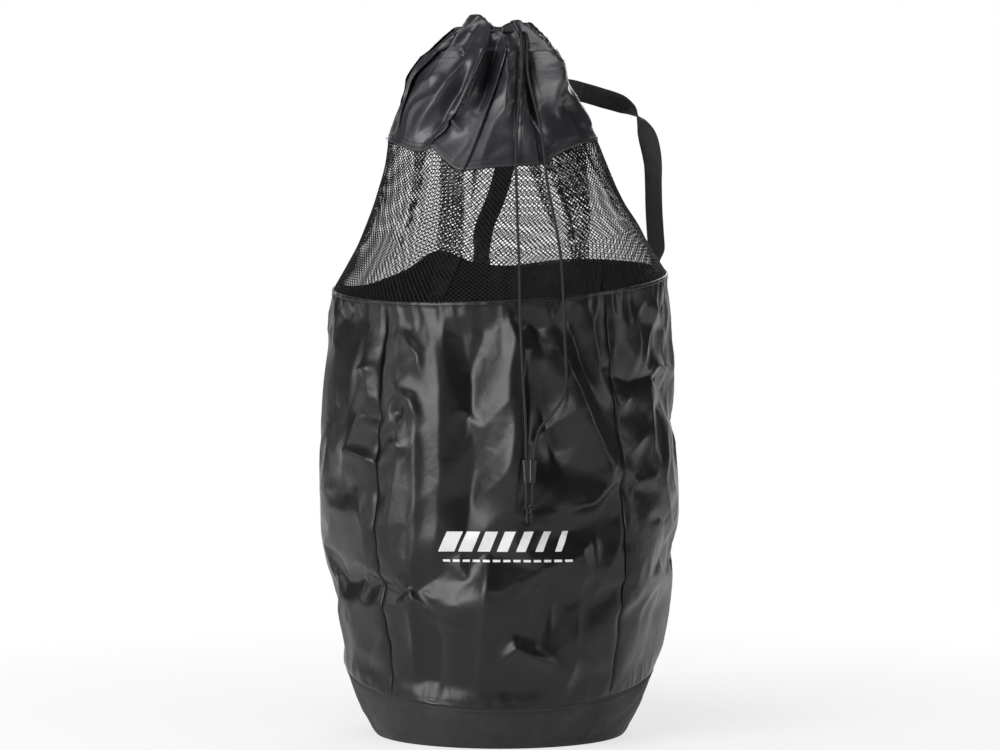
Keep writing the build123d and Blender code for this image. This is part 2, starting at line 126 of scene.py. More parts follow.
# Each fold is its points (x, z), its height and its left and right widths.
# A crest has a height above zero and a valley one below.
BODY_FOLDS = (
    (((-0.080, 0.515), (-0.073, 0.430), (-0.071, 0.330), (-0.082, 0.210)), 0.0070, 0.028, 0.016),
    (((-0.046, 0.512), (-0.036, 0.430), (-0.034, 0.340), (-0.042, 0.260)), -0.0170, 0.026, 0.028),
    (((-0.036, 0.530), (-0.034, 0.492), (-0.042, 0.452)), 0.0085, 0.015, 0.008),
    (((0.003, 0.534), (0.026, 0.474), (0.024, 0.372), (0.016, 0.285)), 0.0150, 0.030, 0.008),
    (((0.014, 0.532), (0.044, 0.500), (0.052, 0.470)), -0.0080, 0.008, 0.014),
    (((0.030, 0.470), (0.036, 0.410), (0.034, 0.350)), -0.0075, 0.007, 0.020),
    (((0.134, 0.328), (0.108, 0.298), (0.066, 0.286)), 0.0100, 0.016, 0.009),
    (((0.080, 0.530), (0.096, 0.470), (0.112, 0.410)), -0.0080, 0.010, 0.012),
    (((0.052, 0.532), (0.058, 0.504)), 0.0045, 0.010, 0.006),
    (((0.104, 0.530), (0.112, 0.480), (0.117, 0.440)), 0.0050, 0.010, 0.006),
    (((0.072, 0.262), (0.094, 0.240), (0.094, 0.190)), 0.0110, 0.036, 0.018),
    (((-0.012, 0.235), (-0.014, 0.190), (-0.010, 0.140)), 0.0090, 0.022, 0.016),
    (((0.050, 0.225), (0.066, 0.175), (0.060, 0.130)), -0.0100, 0.026, 0.010),
    (((-0.008, 0.098), (0.020, 0.124), (0.062, 0.104), (0.080, 0.086)), 0.0140, 0.013, 0.010),
    (((-0.014, 0.245), (-0.019, 0.160), (-0.026, 0.062)), 0.0060, 0.009, 0.014),
    (((0.098, 0.230), (0.092, 0.150), (0.080, 0.062)), 0.0065, 0.014, 0.009),
    (((-0.078, 0.190), (-0.074, 0.130), (-0.078, 0.066)), -0.0060, 0.018, 0.010),
    (((0.030, 0.186), (0.044, 0.140), (0.030, 0.070)), 0.0050, 0.010, 0.014),
    (((0.096, 0.116), (0.124, 0.092)), 0.0060, 0.010, 0.008),
    (((-0.099, 0.412), (-0.099, 0.322), (-0.103, 0.217), (-0.108, 0.080)), 0.0060, 0.012, 0.009),
    (((-0.118, 0.500), (-0.096, 0.470), (-0.092, 0.440)), 0.0080, 0.016, 0.008),
    (((-0.126, 0.432), (-0.104, 0.418), (-0.094, 0.392)), 0.0075, 0.014, 0.008),
    (((-0.128, 0.404), (-0.112, 0.400)), -0.0060, 0.010, 0.012),
    (((-0.158, 0.512), (-0.152, 0.470), (-0.156, 0.408)), 0.0080, 0.020, 0.009),
    (((-0.184, 0.449), (-0.160, 0.456), (-0.137, 0.450)), 0.0055, 0.012, 0.009),
    (((-0.176, 0.404), (-0.150, 0.398), (-0.138, 0.392)), -0.0070, 0.014, 0.014),
    (((-0.192, 0.362), (-0.160, 0.350), (-0.134, 0.338)), 0.0090, 0.014, 0.009),
    (((-0.172, 0.312), (-0.158, 0.270), (-0.162, 0.210)), 0.0060, 0.016, 0.012),
    (((-0.184, 0.330), (-0.188, 0.290)), -0.0060, 0.012, 0.014),
    (((-0.128, 0.372), (-0.108, 0.356)), 0.0055, 0.008, 0.010),
    (((0.158, 0.530), (0.166, 0.490), (0.164, 0.450)), 0.0085, 0.020, 0.008),
    (((0.134, 0.446), (0.160, 0.438), (0.194, 0.446)), -0.0070, 0.012, 0.008),
    (((0.184, 0.540), (0.192, 0.505)), 0.0055, 0.010, 0.008),
    (((0.138, 0.404), (0.160, 0.428)), 0.0050, 0.008, 0.008),
    (((0.150, 0.352), (0.182, 0.384)), 0.0060, 0.009, 0.010),
    (((0.120, 0.318), (0.132, 0.356)), 0.0065, 0.009, 0.006),
    (((0.160, 0.300), (0.156, 0.230), (0.162, 0.160)), 0.0060, 0.018, 0.014),
)
# The sharpest folds of the front, which keep their edges when the cloth settles.
SHARP_FOLDS = (
    (((0.060, 0.488), (0.086, 0.434), (0.104, 0.388), (0.119, 0.350), (0.131, 0.318)), 0.0150, 0.028, 0.015),
    (((0.046, 0.455), (0.050, 0.405), (0.064, 0.350), (0.080, 0.318)), -0.0140, 0.016, 0.022),
    (((0.132, 0.320), (0.106, 0.296), (0.070, 0.290)), 0.0080, 0.018, 0.008),
)
# The back of the body, as if seen from the front through the bag.
BACK_FOLDS = (
    (((-0.092, 0.590), (-0.080, 0.480), (-0.088, 0.350), (-0.070, 0.240)), 0.0075, 0.020, 0.028),
    (((-0.050, 0.590), (-0.046, 0.500), (-0.030, 0.420)), -0.0070, 0.016, 0.018),
    (((0.020, 0.590), (0.012, 0.520), (0.018, 0.400), (0.004, 0.280)), 0.0070, 0.020, 0.018),
    (((0.040, 0.560), (0.030, 0.480)), -0.0050, 0.014, 0.014),
    (((0.070, 0.470), (0.096, 0.390), (0.112, 0.330)), 0.0080, 0.018, 0.012),
    (((0.010, 0.230), (-0.020, 0.180), (-0.060, 0.150)), 0.0060, 0.014, 0.018),
    (((0.060, 0.250), (0.050, 0.180), (0.078, 0.140)), -0.0060, 0.020, 0.016),
    (((-0.170, 0.500), (-0.140, 0.430), (-0.150, 0.340)), 0.0065, 0.016, 0.018),
    (((0.170, 0.520), (0.150, 0.440), (0.168, 0.340)), 0.0060, 0.018, 0.016),
    (((-0.180, 0.280), (-0.150, 0.220), (-0.120, 0.210)), -0.0060, 0.016, 0.016),
)
BAND_FOLDS = (
    (((0.046, 0.020), (0.092, 0.050), (0.140, 0.080)), 0.0045, 0.012, 0.006),
    (((-0.150, 0.030), (-0.110, 0.052)), 0.0030, 0.010, 0.008),
    (((-0.060, 0.022), (-0.020, 0.040), (0.010, 0.030)), -0.0025, 0.012, 0.012),
)
COLLAR_FOLDS = (
    (((-0.038, 0.836), (-0.070, 0.780), (-0.104, 0.735)), 0.0145, 0.020, 0.007),
    (((-0.026, 0.832), (-0.056, 0.780), (-0.084, 0.735)), -0.0130, 0.007, 0.010),
    (((-0.010, 0.866), (-0.030, 0.810), (-0.054, 0.755)), 0.0159, 0.012, 0.006),
    (((0.000, 0.860), (-0.012, 0.815), (-0.026, 0.768)), -0.0188, 0.006, 0.008),
    (((0.008, 0.868), (0.008, 0.800), (0.004, 0.745)), 0.0087, 0.011, 0.009),
    (((0.023, 0.850), (0.023, 0.780), (0.020, 0.712)), -0.0051, 0.003, 0.003),
    (((0.034, 0.846), (0.042, 0.790), (0.050, 0.735)), -0.0217, 0.006, 0.009),
    (((0.028, 0.872), (0.060, 0.822), (0.066, 0.770)), 0.0174, 0.006, 0.012),
    (((0.074, 0.786), (0.096, 0.758)), -0.0087, 0.006, 0.010),
    (((0.086, 0.800), (0.110, 0.750)), 0.0087, 0.008, 0.012),
    (((-0.052, 0.842), (-0.040, 0.832)), -0.0087, 0.005, 0.005),
    (((-0.050, 0.786), (-0.060, 0.760), (-0.046, 0.742)), 0.0087, 0.006, 0.006),
    (((-0.060, 0.842), (-0.088, 0.800), (-0.120, 0.760)), 0.0058, 0.016, 0.016),
)
COLLAR_BACK_FOLDS = (
    (((-0.040, 0.870), (-0.062, 0.800), (-0.088, 0.760)), 0.0145, 0.012, 0.007),
    (((-0.024, 0.870), (-0.040, 0.800), (-0.058, 0.765)), -0.0145, 0.007, 0.009),
    (((-0.006, 0.880), (-0.010, 0.810), (-0.020, 0.760)), 0.0130, 0.010, 0.007),
    (((0.010, 0.870), (0.012, 0.810), (0.022, 0.765)), -0.0159, 0.006, 0.008),
    (((0.024, 0.875), (0.044, 0.810), (0.060, 0.765)), 0.0145, 0.008, 0.012),
    (((0.040, 0.850), (0.076, 0.790), (0.092, 0.765)), -0.0116, 0.008, 0.009),
)
# Places across the front of the collar and the heights of its lower edge there.
COLLAR_DIP = (
    (-0.139, 0.736), (-0.098, 0.719), (-0.084, 0.722), (-0.073, 0.712), (-0.046, 0.693),
    (-0.009, 0.697), (0.020, 0.699), (0.055, 0.702), (0.066, 0.712), (0.120, 0.738),
)
# Level 0 is the rim, 1 the collar's lower edge, 2 the casing's lower stitch line and 3 the
# mouth. Each pleat doubles the cloth back on itself: its angle at each of the levels, then
# its width there, in degrees.
LEVELS = (0.0, 0.35, 1.0, 1.5, 2.0, 3.0)
PLEATS = (
    ((-147, -142, -128, -117, -103, -100), (0, 0, 3, 14, 20, 20)),
    ((-112, -109, -112, -100, -86, -84), (6, 12, 15, 16, 18, 18)),
    ((-62, -63, -67, -68, -66, -62), (0, 0, 7, 8, 12, 14)),
    ((-60, -56, -42, -44, -44, -40), (0, 9, 25, 24, 24, 22)),
    ((-14, -12, -8, -8, -6, -4), (0, 0, 4, 14, 20, 22)),
    ((22, 24, 28, 28, 30, 32), (0, 0, 8, 16, 22, 24)),
    ((60, 58, 62, 64, 66, 68), (0, 3, 9, 18, 24, 24)),
    ((100, 102, 98, 100, 102, 104), (0, 0, 6, 18, 24, 24)),
    ((136, 132, 134, 136, 138, 140), (0, 3, 9, 18, 24, 24)),
    ((172, 170, 168, 172, 174, 176), (0, 0, 4, 16, 22, 22)),
    ((-156, -158, -160, -156, -150, -146), (0, 0, 0, 4, 10, 16)),
)
# The strap's free part: steps from its right support, then its twist in degrees.
STRAP_RISE = (
    ((0, 0, 0.002), 0), ((-0.001, 0.003, 0.022), 0), ((-0.0025, 0.0075, 0.052), 0),
    ((-0.003, 0.011, 0.084), 0), ((-0.0035, 0.014, 0.112), 8), ((-0.007, 0.0165, 0.134), 25),
    ((-0.012, 0.018, 0.152), 55), ((-0.0185, 0.019, 0.167), 92), ((-0.029, 0.020, 0.180), 135),
    ((-0.045, 0.021, 0.189), 165), ((-0.068, 0.0225, 0.1965), 178), ((-0.092, 0.022, 0.2035), 180),
)


# ---- sizes and colours ----
def length_field(name, description, default):
    return FloatProperty(name=name, description=description, default=default, unit="LENGTH", precision=4)


def colour_field(name, description, default):
    return FloatVectorProperty(
        name=name, description=description, default=default, subtype="COLOR", size=3, min=0.0, max=1.0
    )


class BagSizes(bpy.types.PropertyGroup):
    """Sizes of the bag's cloth, net, cord and webbing."""

    base_radius: length_field("Base radius", "Radius of the round base panel", 0.152)
    heel_radius: length_field("Heel radius", "Where the base band turns up", 0.162)
    heel_height: length_field("Heel height", "Height of that turn", 0.012)
    band_top_radius: length_field("Band radius", "Base band at its seam with the body", 0.193)
    band_height: length_field("Band height", "Height of that seam on the axis", 0.086)
    shoulder_radius: length_field("Shoulder radius", "Body a little above the band", 0.2065)
    belly_radius: length_field("Belly radius", "Body at its widest place", 0.2175)
    belly_height: length_field("Belly height", "Height of the widest place", 0.300)
    rim_radius: length_field("Rim radius", "Top edge of the body", 0.208)
    rim_height: length_field("Rim height", "Height of the rim on the axis", 0.565)
    collar_radius_x: length_field("Collar half width", "Collar's lower edge, side to side", 0.130)
    collar_radius_y: length_field("Collar half depth", "Collar's lower edge, front to back", 0.095)
    collar_height: length_field("Collar height", "Height of the collar's lower edge on the axis", 0.727)
    casing_height: length_field("Casing height", "Lower stitch line of the drawcord casing", 0.842)
    casing_radius: length_field("Casing radius", "Gathered cloth at that line", 0.076)
    mouth_height: length_field("Mouth height", "Top of the gathered hem", 0.888)
    mouth_radius: length_field("Mouth radius", "Gathered cloth at the top", 0.040)
    cloth_round: length_field("Cloth round the bag", "Flat width of the body, net and collar cloth", 1.31)
    cloth_thickness: length_field("Cloth thickness", "Coated nylon", 0.0006)
    net_pitch: length_field("Net pitch", "From one hole of the net to the next", 0.0044)
    net_thickness: length_field("Net thickness", "Strands of the net", 0.0005)
    cord_diameter: length_field("Cord diameter", "Braided drawcord", 0.0035)
    strap_width: length_field("Strap width", "Shoulder webbing", 0.025)
    strap_thickness: length_field("Strap thickness", "Shoulder webbing", 0.002)
    stitch_pitch: length_field("Stitch pitch", "From one stitch to the next", 0.0042)
    stitch_length: length_field("Stitch length", "Thread that shows in one stitch", 0.0028)
    thread_diameter: length_field("Thread diameter", "Sewing thread", 0.0006)


class BagColours(bpy.types.PropertyGroup):
    """Colours of the bag's materials."""

    body: colour_field("Body nylon", "Glossy coated nylon", (0.0062, 0.0062, 0.0072))
    collar: colour_field("Collar nylon", "Satin nylon of the collar", (0.0155, 0.016, 0.020))
    base: colour_field("Base cloth", "Matt polyester of the base", (0.022, 0.021, 0.023))
    net: colour_field("Net", "Open mesh", (0.006, 0.0055, 0.006))
    webbing: colour_field("Webbing", "Shoulder strap", (0.044, 0.040, 0.041))
    cord: colour_field("Cord", "Drawcord", (0.013, 0.013, 0.014))
    tape: colour_field("Binding tape", "Hems, tapes and thread", (0.016, 0.016, 0.018))
    plastic: colour_field("Slider plastic", "Moulded cord slider", (0.008, 0.008, 0.009))
    print: colour_field("Print", "Plain pattern printed on the front", (0.76, 0.76, 0.76))


def sizes():
    return bpy.context.scene.bag_sizes


def colours():
    return bpy.context.scene.bag_colours


# ---- mesh helpers ----
def add_object(name, data):
    piece = bpy.data.objects.new(name, data)
    bpy.context.scene.collection.objects.link(piece)
    return piece


def mesh_object(name, vertices, faces, uv=None, edges=()):
    """A mesh object from arrays of points and faces; uv is one pair per point."""
    mesh = bpy.data.meshes.new(name)
    mesh.from_pydata(np.reshape(vertices, (-1, 3)).tolist(), edges, faces)
    mesh.update()
    if uv is not None:
        layer = mesh.uv_layers.new(name="cloth")
        # The inner face gets a matt lining whose colour is painted darker, as painted shade inside the bag.
        corner = np.zeros(len(mesh.loops), np.int32)
        mesh.loops.foreach_get("vertex_index", corner)
        layer.data.foreach_set("uv", np.reshape(uv, (-1, 2))[corner].astype(np.float32).ravel())
    mesh.polygons.foreach_set("use_smooth", np.ones(len(mesh.polygons), bool))
    return add_object(name, mesh)


def grid_faces(rows, columns, closed=False):
    """Quads of a grid of points laid row by row; closed joins its last column to its first."""
    row, column = np.meshgrid(
        np.arange(rows - 1), np.arange(columns if closed else columns - 1), indexing="ij"
    )
    beside = (column + 1) % columns
    first = row * columns
    corners = [first + column, first + beside, first + columns + beside, first + columns + column]
    return np.stack(corners, -1).reshape(-1, 4).tolist()


def grid_object(name, points, uv=None, closed=False):
    """A sheet from rows and columns of points."""
    return mesh_object(name, points, grid_faces(*points.shape[:2], closed), uv)


def pairs(u, v):
    """One pair for each point of a grid, from a row, a column or a whole grid of each."""
    return np.stack(np.broadcast_arrays(u, v), -1)


def apply_modifiers(piece):
    """Turns the piece into the plain mesh that its modifiers make."""
    bpy.context.view_layer.update()
    evaluated = piece.evaluated_get(bpy.context.evaluated_depsgraph_get())
    mesh = bpy.data.meshes.new_from_object(evaluated)
    old = piece.data
    piece.modifiers.clear()
    piece.data = mesh
    bpy.data.meshes.remove(old)


def thicken(piece, thickness, offset=-1.0, lining=None):
    """Gives a sheet its thickness; lining is the finish of its inner face."""
    solid = piece.modifiers.new("thickness", "SOLIDIFY")
    solid.thickness = thickness
    solid.offset = offset
    if lining:
        piece.data.materials.append(None)
        piece.data.materials.append(finish(lining))
        solid.material_offset = 1
    apply_modifiers(piece)


def finish_piece(piece, look, slot, *nodes):
    """Gives the piece its finish; slot is not used; nodes are the solids that it stands for."""
    materials = piece.data.materials
    if len(materials) > 1:
        materials[0] = finish(look)
    else:
        materials.clear()
        materials.append(finish(look))
    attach(piece, "bag")
    if nodes:
        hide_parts(*nodes)


# ---- shapes of lines and fields ----
def once_round(count, start=-pi):
    """Evenly spaced angles once round, without the last, which would repeat the first."""
    return np.linspace(start, start + 2 * pi, count + 1)[:-1]


def polar(radius, angle, height):
    """Points at a radius and an angle round the bag's axis."""
    return np.stack(np.broadcast_arrays(radius * np.cos(angle), radius * np.sin(angle), height), -1)


def push_out(points, angle, out):
    """Moves points away from the axis, each along its own angle."""
    points[..., 0] += out * np.cos(angle)
    points[..., 1] += out * np.sin(angle)
    return points


def unit(vectors):
    return vectors / np.maximum(np.linalg.norm(vectors, axis=-1, keepdims=True), 1e-12)


def square_to(vectors, along):
    """The vectors' directions, turned square to the run along."""
    return unit(vectors - along * (vectors * along).sum(-1, keepdims=True))


def radial(points):
    """Directions from the axis out through the points."""
    out = np.array(points)
    out[:, 2] = 0
    return unit(out)


def hermite_weights(t):
    """Weights of the start, its slope, the end and its slope."""
    return 2 * t**3 - 3 * t**2 + 1, t**3 - 2 * t**2 + t, 3 * t**2 - 2 * t**3, t**3 - t**2


def smooth_steps(places, values, wanted):
    """A smooth line through values at rising places, with no overshoot."""
    x = np.asarray(places, float)
    y = np.asarray(values, float)
    step = np.diff(x)
    slope = np.diff(y) / step
    rising = slope[:-1] * slope[1:] > 0
    mean = 2 * slope[:-1] * slope[1:] / np.where(rising, slope[:-1] + slope[1:], 1)
    tangent = np.concatenate([slope[:1], np.where(rising, mean, 0), slope[-1:]])
    wanted = np.clip(wanted, x[0], x[-1])
    index = np.clip(np.searchsorted(x, wanted, side="right") - 1, 0, len(step) - 1)
    h = step[index]
    a, b, c, d = hermite_weights((wanted - x[index]) / h)
    return a * y[index] + b * h * tangent[index] + c * y[index + 1] + d * h * tangent[index + 1]


def ease(low, high, value):
    """Climbs softly from 0 at low to 1 at high."""
    t = np.clip((value - low) / (high - low), 0, 1)
    return t * t * (3 - 2 * t)


def bell(value, middle, width):
    """1 at the middle, falling away softly to each side."""
    return np.exp(-(((value - middle) / width) ** 2))


def in_front(angle):
    """1 on the front half of the bag and 0 on its back half, with a soft change."""
    return 1 - ease(-0.25, 0.15, np.sin(angle))


def fold_relief(x, z, folds, crisp=1.3):
    """Height of a set of folds at points of a cloth seen square on.

    Each fold fades out at both ends; crisp is 1 for a sharp crest and 2 for a round one."""
    relief = np.zeros_like(x)
    for points, height, left, right in folds:
        line = np.asarray(points, float)
        runs = np.hypot(*np.diff(line, axis=0).T)
        along = np.concatenate([[0], np.cumsum(runs)])
        best = np.full(x.shape, 9.0)
        side = np.zeros_like(x)
        place = np.zeros_like(x)
        for i, run in enumerate(runs):
            ax, az = line[i]
            dx, dz = (line[i + 1] - line[i]) / run
            t = (x - ax) * dx + (z - az) * dz
            near = np.clip(t, 0, run)
            away = np.hypot(x - ax - near * dx, z - az - near * dz)
            closer = away < best
            best = np.where(closer, away, best)
            side = np.where(closer, (x - ax) * dz - (z - az) * dx, side)
            place = np.where(closer, along[i] + t, place)
        length = along[-1]
        fade = min(length * 0.45, 0.05)
        ends = ease(-fade * 0.4, fade, place) * ease(-fade * 0.4, fade, length - place)
        downwards = -1.0 if line[-1, 1] < line[0, 1] else 1.0
        blend = ease(-0.004, 0.004, side * downwards)
        across = np.sqrt((best / (left * (1 - blend) + right * blend)) ** 2 + 0.01)
        relief += height * ends * np.exp(-(across**crisp))
    return relief


def crumple(points, scale, seed, stretch=(1.0, 1.0, 1.0)):
    """Soft swells, between -1 and 1, at points in space."""
    shift = Vector((seed * 3.1, seed * 1.7, seed * 2.3))
    step = Vector([scale / s for s in stretch])
    values = [
        noise.noise(Vector((p[0] * step[0], p[1] * step[1], p[2] * step[2])) + shift)
        for p in points.reshape(-1, 3).tolist()
    ]
    return np.reshape(values, points.shape[:-1])


def creased(points, scale, seed, stretch=(1.0, 1.0, 1.0)):
    """Sharp-crested creases, below 0 in the flats and above 0 on the crests."""
    return 1 - 2 * np.minimum(np.abs(crumple(points, scale, seed, stretch)), 0.5) - CREASE_LEVEL


def leaning(points, side, up):
    """The points turned about the front-to-back line, for creases that run slantwise."""
    turn = np.array([[up, 0, side], [0, 1, 0], [-side, 0, up]])
    return (points.reshape(-1, 3) @ turn).reshape(points.shape)


# ---- the body's surface ----
def body_radius(height):
    """Radius of the plain body, base band included."""
    s = sizes()
    profile = (
        (FLOOR_GAP, s.base_radius), (s.heel_height, s.heel_radius), (s.band_height, s.band_top_radius),
        (0.150, s.shoulder_radius), (s.belly_height, s.belly_radius), (0.420, 0.2148),
        (0.520, s.rim_radius), (0.66, s.rim_radius),
    )
    return smooth_steps(*zip(*profile), height)


def rim_height_at(angle):
    """The rim leans, is caught up behind the strap and hangs slack to each side of it."""
    s = sizes()
    plane = s.rim_height + s.rim_radius * (RIM_SLOPE[0] * np.cos(angle) + RIM_SLOPE[1] * np.sin(angle))
    turn = np.degrees(angle) % 360
    slack = -0.013 * bell(turn, 146, 19.0) - 0.008 * bell(turn, 86, 14.0)
    return plane + 0.019 * bell(turn, 113, 9.0) + slack


def band_height_at(angle):
    s = sizes()
    return s.band_height + s.band_top_radius * BAND_SLOPE * np.sin(angle)


def band_seam_line(angle, proud, above=0.0):
    """A line that follows the seam between the base band and the body."""
    height = band_height_at(angle) + above
    return polar(body_radius(height) + proud, angle, height)


def seam_angle(number, share):
    """Where an upright seam stands, in radians; the bag hangs a little askew."""
    number = number % 4
    drift = SEAM_DRIFT_LOW[number] * (1 - share) ** 2 + SEAM_DRIFT_HIGH[number] * share**2
    return np.radians(SEAM_ANGLES[number] + drift)


def body_relief(angle, height, share):
    """How far the body's cloth stands proud of its plain shape."""
    s = sizes()
    radius = body_radius(height)
    points = polar(radius, angle, height)
    x = points[..., 0]
    front = in_front(angle)
    relief = front * fold_relief(x, height, BODY_FOLDS) + (1 - front) * fold_relief(x, height, BACK_FOLDS)
    # Broad creases and finer slanting ones in patches, calmer low on the front.
    calm = 1 - 0.5 * bell(height, 0.22, 0.08) * (np.abs(x) < 0.11) * front
    relief += 0.0095 * creased(points, 8, 1, (1.0, 1.0, 1.8)) * calm
    slanting = creased(leaning(points, 0.6, 0.8), 15, 3, (0.7, 0.7, 1.8))
    relief += 0.0048 * slanting * ease(-0.3, 0.3, crumple(points, 7, 5)) * calm
    # Gathers under the rim and above the band, and puckers along the upright seams.
    below_rim = (1 - share) * (s.rim_height - s.band_height)
    above_band = share * (s.rim_height - s.band_height)
    gather = creased(points, 62, 6, (1.0, 1.0, 8.0))
    relief += 0.0030 * gather * np.exp(-below_rim / 0.028)
    relief += 0.0009 * gather * np.exp(-above_band / 0.020)
    gaps = [np.abs((angle - seam_angle(i, share) + pi) % (2 * pi) - pi) * radius for i in range(4)]
    away, seam = np.min(gaps, 0), np.argmin(gaps, 0)
    pucker = crumple(np.stack([seam * 5.0, away * 0.4, height], -1), 46, 7)
    relief += 0.0038 * pucker * np.exp(-away / 0.014)
    relief = relief - 0.0020 * bell(away, 0, 0.0024) - 0.0016 * bell(away, 0, 0.010)
    relief -= 0.0075 * front * (1 - ease(0.08, 0.15, np.abs(x)))
    # The stitched edges hold the cloth in.
    hold = ease(0.0, 0.035, below_rim) * ease(0.0, 0.032, above_band)
    edge_hold = ease(0.0, 0.006, below_rim) * ease(0.0, 0.006, above_band)
    relief = relief * (0.15 * edge_hold + 0.85 * hold) + 0.0012 * gather * edge_hold * (1 - hold)
    # The left foot of the body stands a little further in than its right one.
    return relief - 0.006 * bell(height, 0.13, 0.07) * np.maximum(-np.cos(angle), 0) ** 2 * hold


def body_points(angle, share, inset=0.0):
    """Points of the body's cloth at an angle round it and a share of its way up."""
    low = band_height_at(angle)
    height = low + (rim_height_at(angle) - low) * share
    return polar(body_radius(height) + body_relief(angle, height, share) - inset, angle, height)


def settle(points, held):
    """Lets a closed tube of cloth, a little larger than the shape it starts in, come to rest.

    points is rows by columns; held is how firmly each row is held. Returns how far each
    point moved."""
    rows, columns = points.shape[:2]
    tube = grid_object("settling_cloth", points, closed=True)
    group = tube.vertex_groups.new(name="held")
    for row, weight in enumerate(held):
        group.add(list(range(row * columns, (row + 1) * columns)), float(weight), "REPLACE")
    cloth = tube.modifiers.new("cloth", "CLOTH")
    for key, value in CLOTH_RULES.items():
        setattr(cloth.settings, key, value)
    cloth.settings.effector_weights.gravity = 0.015
    cloth.collision_settings.use_collision = False
    cloth.point_cache.frame_start = 1
    cloth.point_cache.frame_end = SETTLE_FRAMES
    for step in range(1, SETTLE_FRAMES + 1):
        bpy.context.scene.frame_set(step)
    apply_modifiers(tube)
    rest = np.zeros(points.size)
    tube.data.vertices.foreach_get("co", rest)
    bpy.data.objects.remove(tube)
    bpy.context.scene.frame_set(1)
    moved = rest.reshape(points.shape) - points
    far = np.linalg.norm(moved, axis=-1, keepdims=True)
    return moved * np.minimum(1, SETTLE_LIMIT / np.maximum(far, 1e-9))


def evened(field, passes):
    """The grid of values with its finest ripples smoothed away."""
    for _ in range(passes):
        field = (np.roll(field, 1, 1) + 2 * field + np.roll(field, -1, 1)) / 4
        padded = np.concatenate([field[:1], field, field[-1:]])
        field = (padded[:-2] + 2 * field + padded[2:]) / 4
    return field


def cubic_weights(t):
    """Weights of four neighbours in a row, for a place between the middle two."""
    return (
        (-(t**3) + 2 * t**2 - t) / 2, (3 * t**3 - 5 * t**2 + 2) / 2,
        (-3 * t**3 + 4 * t**2 + t) / 2, (t**3 - t**2) / 2,
    )


def sample_grid(field, share, angle):
    """A smooth reading of a grid of values, rows from 0 to 1 and columns once round."""
    rows, columns = field.shape[:2]
    row = np.clip(share, 0, 1) * (rows - 1)
    column = (angle + pi) / (2 * pi) * columns
    low, left = np.floor(row).astype(int), np.floor(column).astype(int)
    value = 0
    for i, wy in zip(range(-1, 3), cubic_weights(row - low)):
        for j, wx in zip(range(-1, 3), cubic_weights(column - left)):
            near = field[np.clip(low + i, 0, rows - 1), (left + j) % columns]
            value = value + near * (wy * wx)[..., None]
    return value


def settled_body():
    """How far the points of a grid over the body move as its cloth comes to rest."""
    if "body" not in SETTLED:
        rise = np.linspace(0, 1, SETTLE_ROWS)
        turns, rises = np.meshgrid(once_round(SETTLE_COLUMNS), rise)
        start = body_points(turns, rises, 0.0025 * np.sin(pi * rises))
        moved = np.zeros_like(start)
        edges = 1 - ease(0.0, 0.02, np.minimum(rise, 1 - rise))
        moved = settle(start, np.maximum(edges, 0.25 * (1 - ease(0.03, 0.30, rise))))
        # Low down the cloth moves less and more evenly.
        foot = (1 - ease(0.12, 0.36, rise))[:, None, None]
        moved = moved * (1 - foot) + 0.7 * evened(moved, 3) * foot
        SETTLED["body"] = moved
    return SETTLED["body"]


def body_cloth(angle, share, inset=0.0):
    """Points of the body's cloth after it has settled."""
    points = body_points(angle, share, inset) + sample_grid(settled_body(), share, angle)
    sharp = in_front(angle) * fold_relief(points[..., 0], points[..., 2], SHARP_FOLDS)
    return behind_webbing(behind_cords(push_out(points, angle, sharp), inset), inset)


def body_line(angle, share, inset=0.0):
    """A single line of points on the settled body."""
    return body_cloth(angle[None], share[None], inset)[0]


def behind_cords(points, inset):
    """Keeps the front of the body just behind the two strands of the drawcord."""
    x, y, z = points[..., 0], points[..., 1].copy(), points[..., 2]
    for route in (LEFT_STRAND, RIGHT_STRAND):
        line = np.array(route)[::-1]
        near = np.abs(x - np.interp(z, line[:, 2], line[:, 0]))
        limit = np.interp(z, line[:, 2], line[:, 1]) + CORD_GAP + inset
        hidden = (y < 0) * (z > CORD_SPAN[0]) * (z < CORD_SPAN[1]) * np.maximum(limit - y, 0)
        y = y + hidden * (1 - ease(0.004, 0.022, near))
    return np.stack([x, y, z], -1)


def behind_webbing(points, inset):
    """Keeps the back of the body just inside the webbing that runs down it."""
    radius = np.hypot(points[..., 0], points[..., 1])
    turn = np.degrees(np.arctan2(points[..., 1], points[..., 0]))
    beside = np.abs(np.radians(turn - np.interp(points[..., 2], RUN_HEIGHTS, RUN_ANGLES))) * radius
    proud = np.maximum(radius - body_radius(points[..., 2]) - 0.0010 + inset, 0)
    share = 1 - proud * (1 - ease(0.013, 0.034, beside)) / radius
    return points * np.stack([share, share, np.ones_like(share)], -1)


# ---- the gathered net, collar and casing ----
def collar_edge_height(angle):
    """The collar's lower edge, which dips in front and is caught up at the sides."""
    front = smooth_steps(*zip(*COLLAR_DIP), GATHER_X + sizes().collar_radius_x * np.cos(angle))
    return np.where(np.sin(angle) < 0, front, 0.737 + 0.020 * np.sin(angle))


def mouth_height_at(angle):
    """The ragged top of the gathered hem."""
    wave = 0.0055 * np.sin(3 * angle + 1.9) + 0.0045 * np.sin(5 * angle - 0.6)
    return sizes().mouth_height - 0.008 + wave


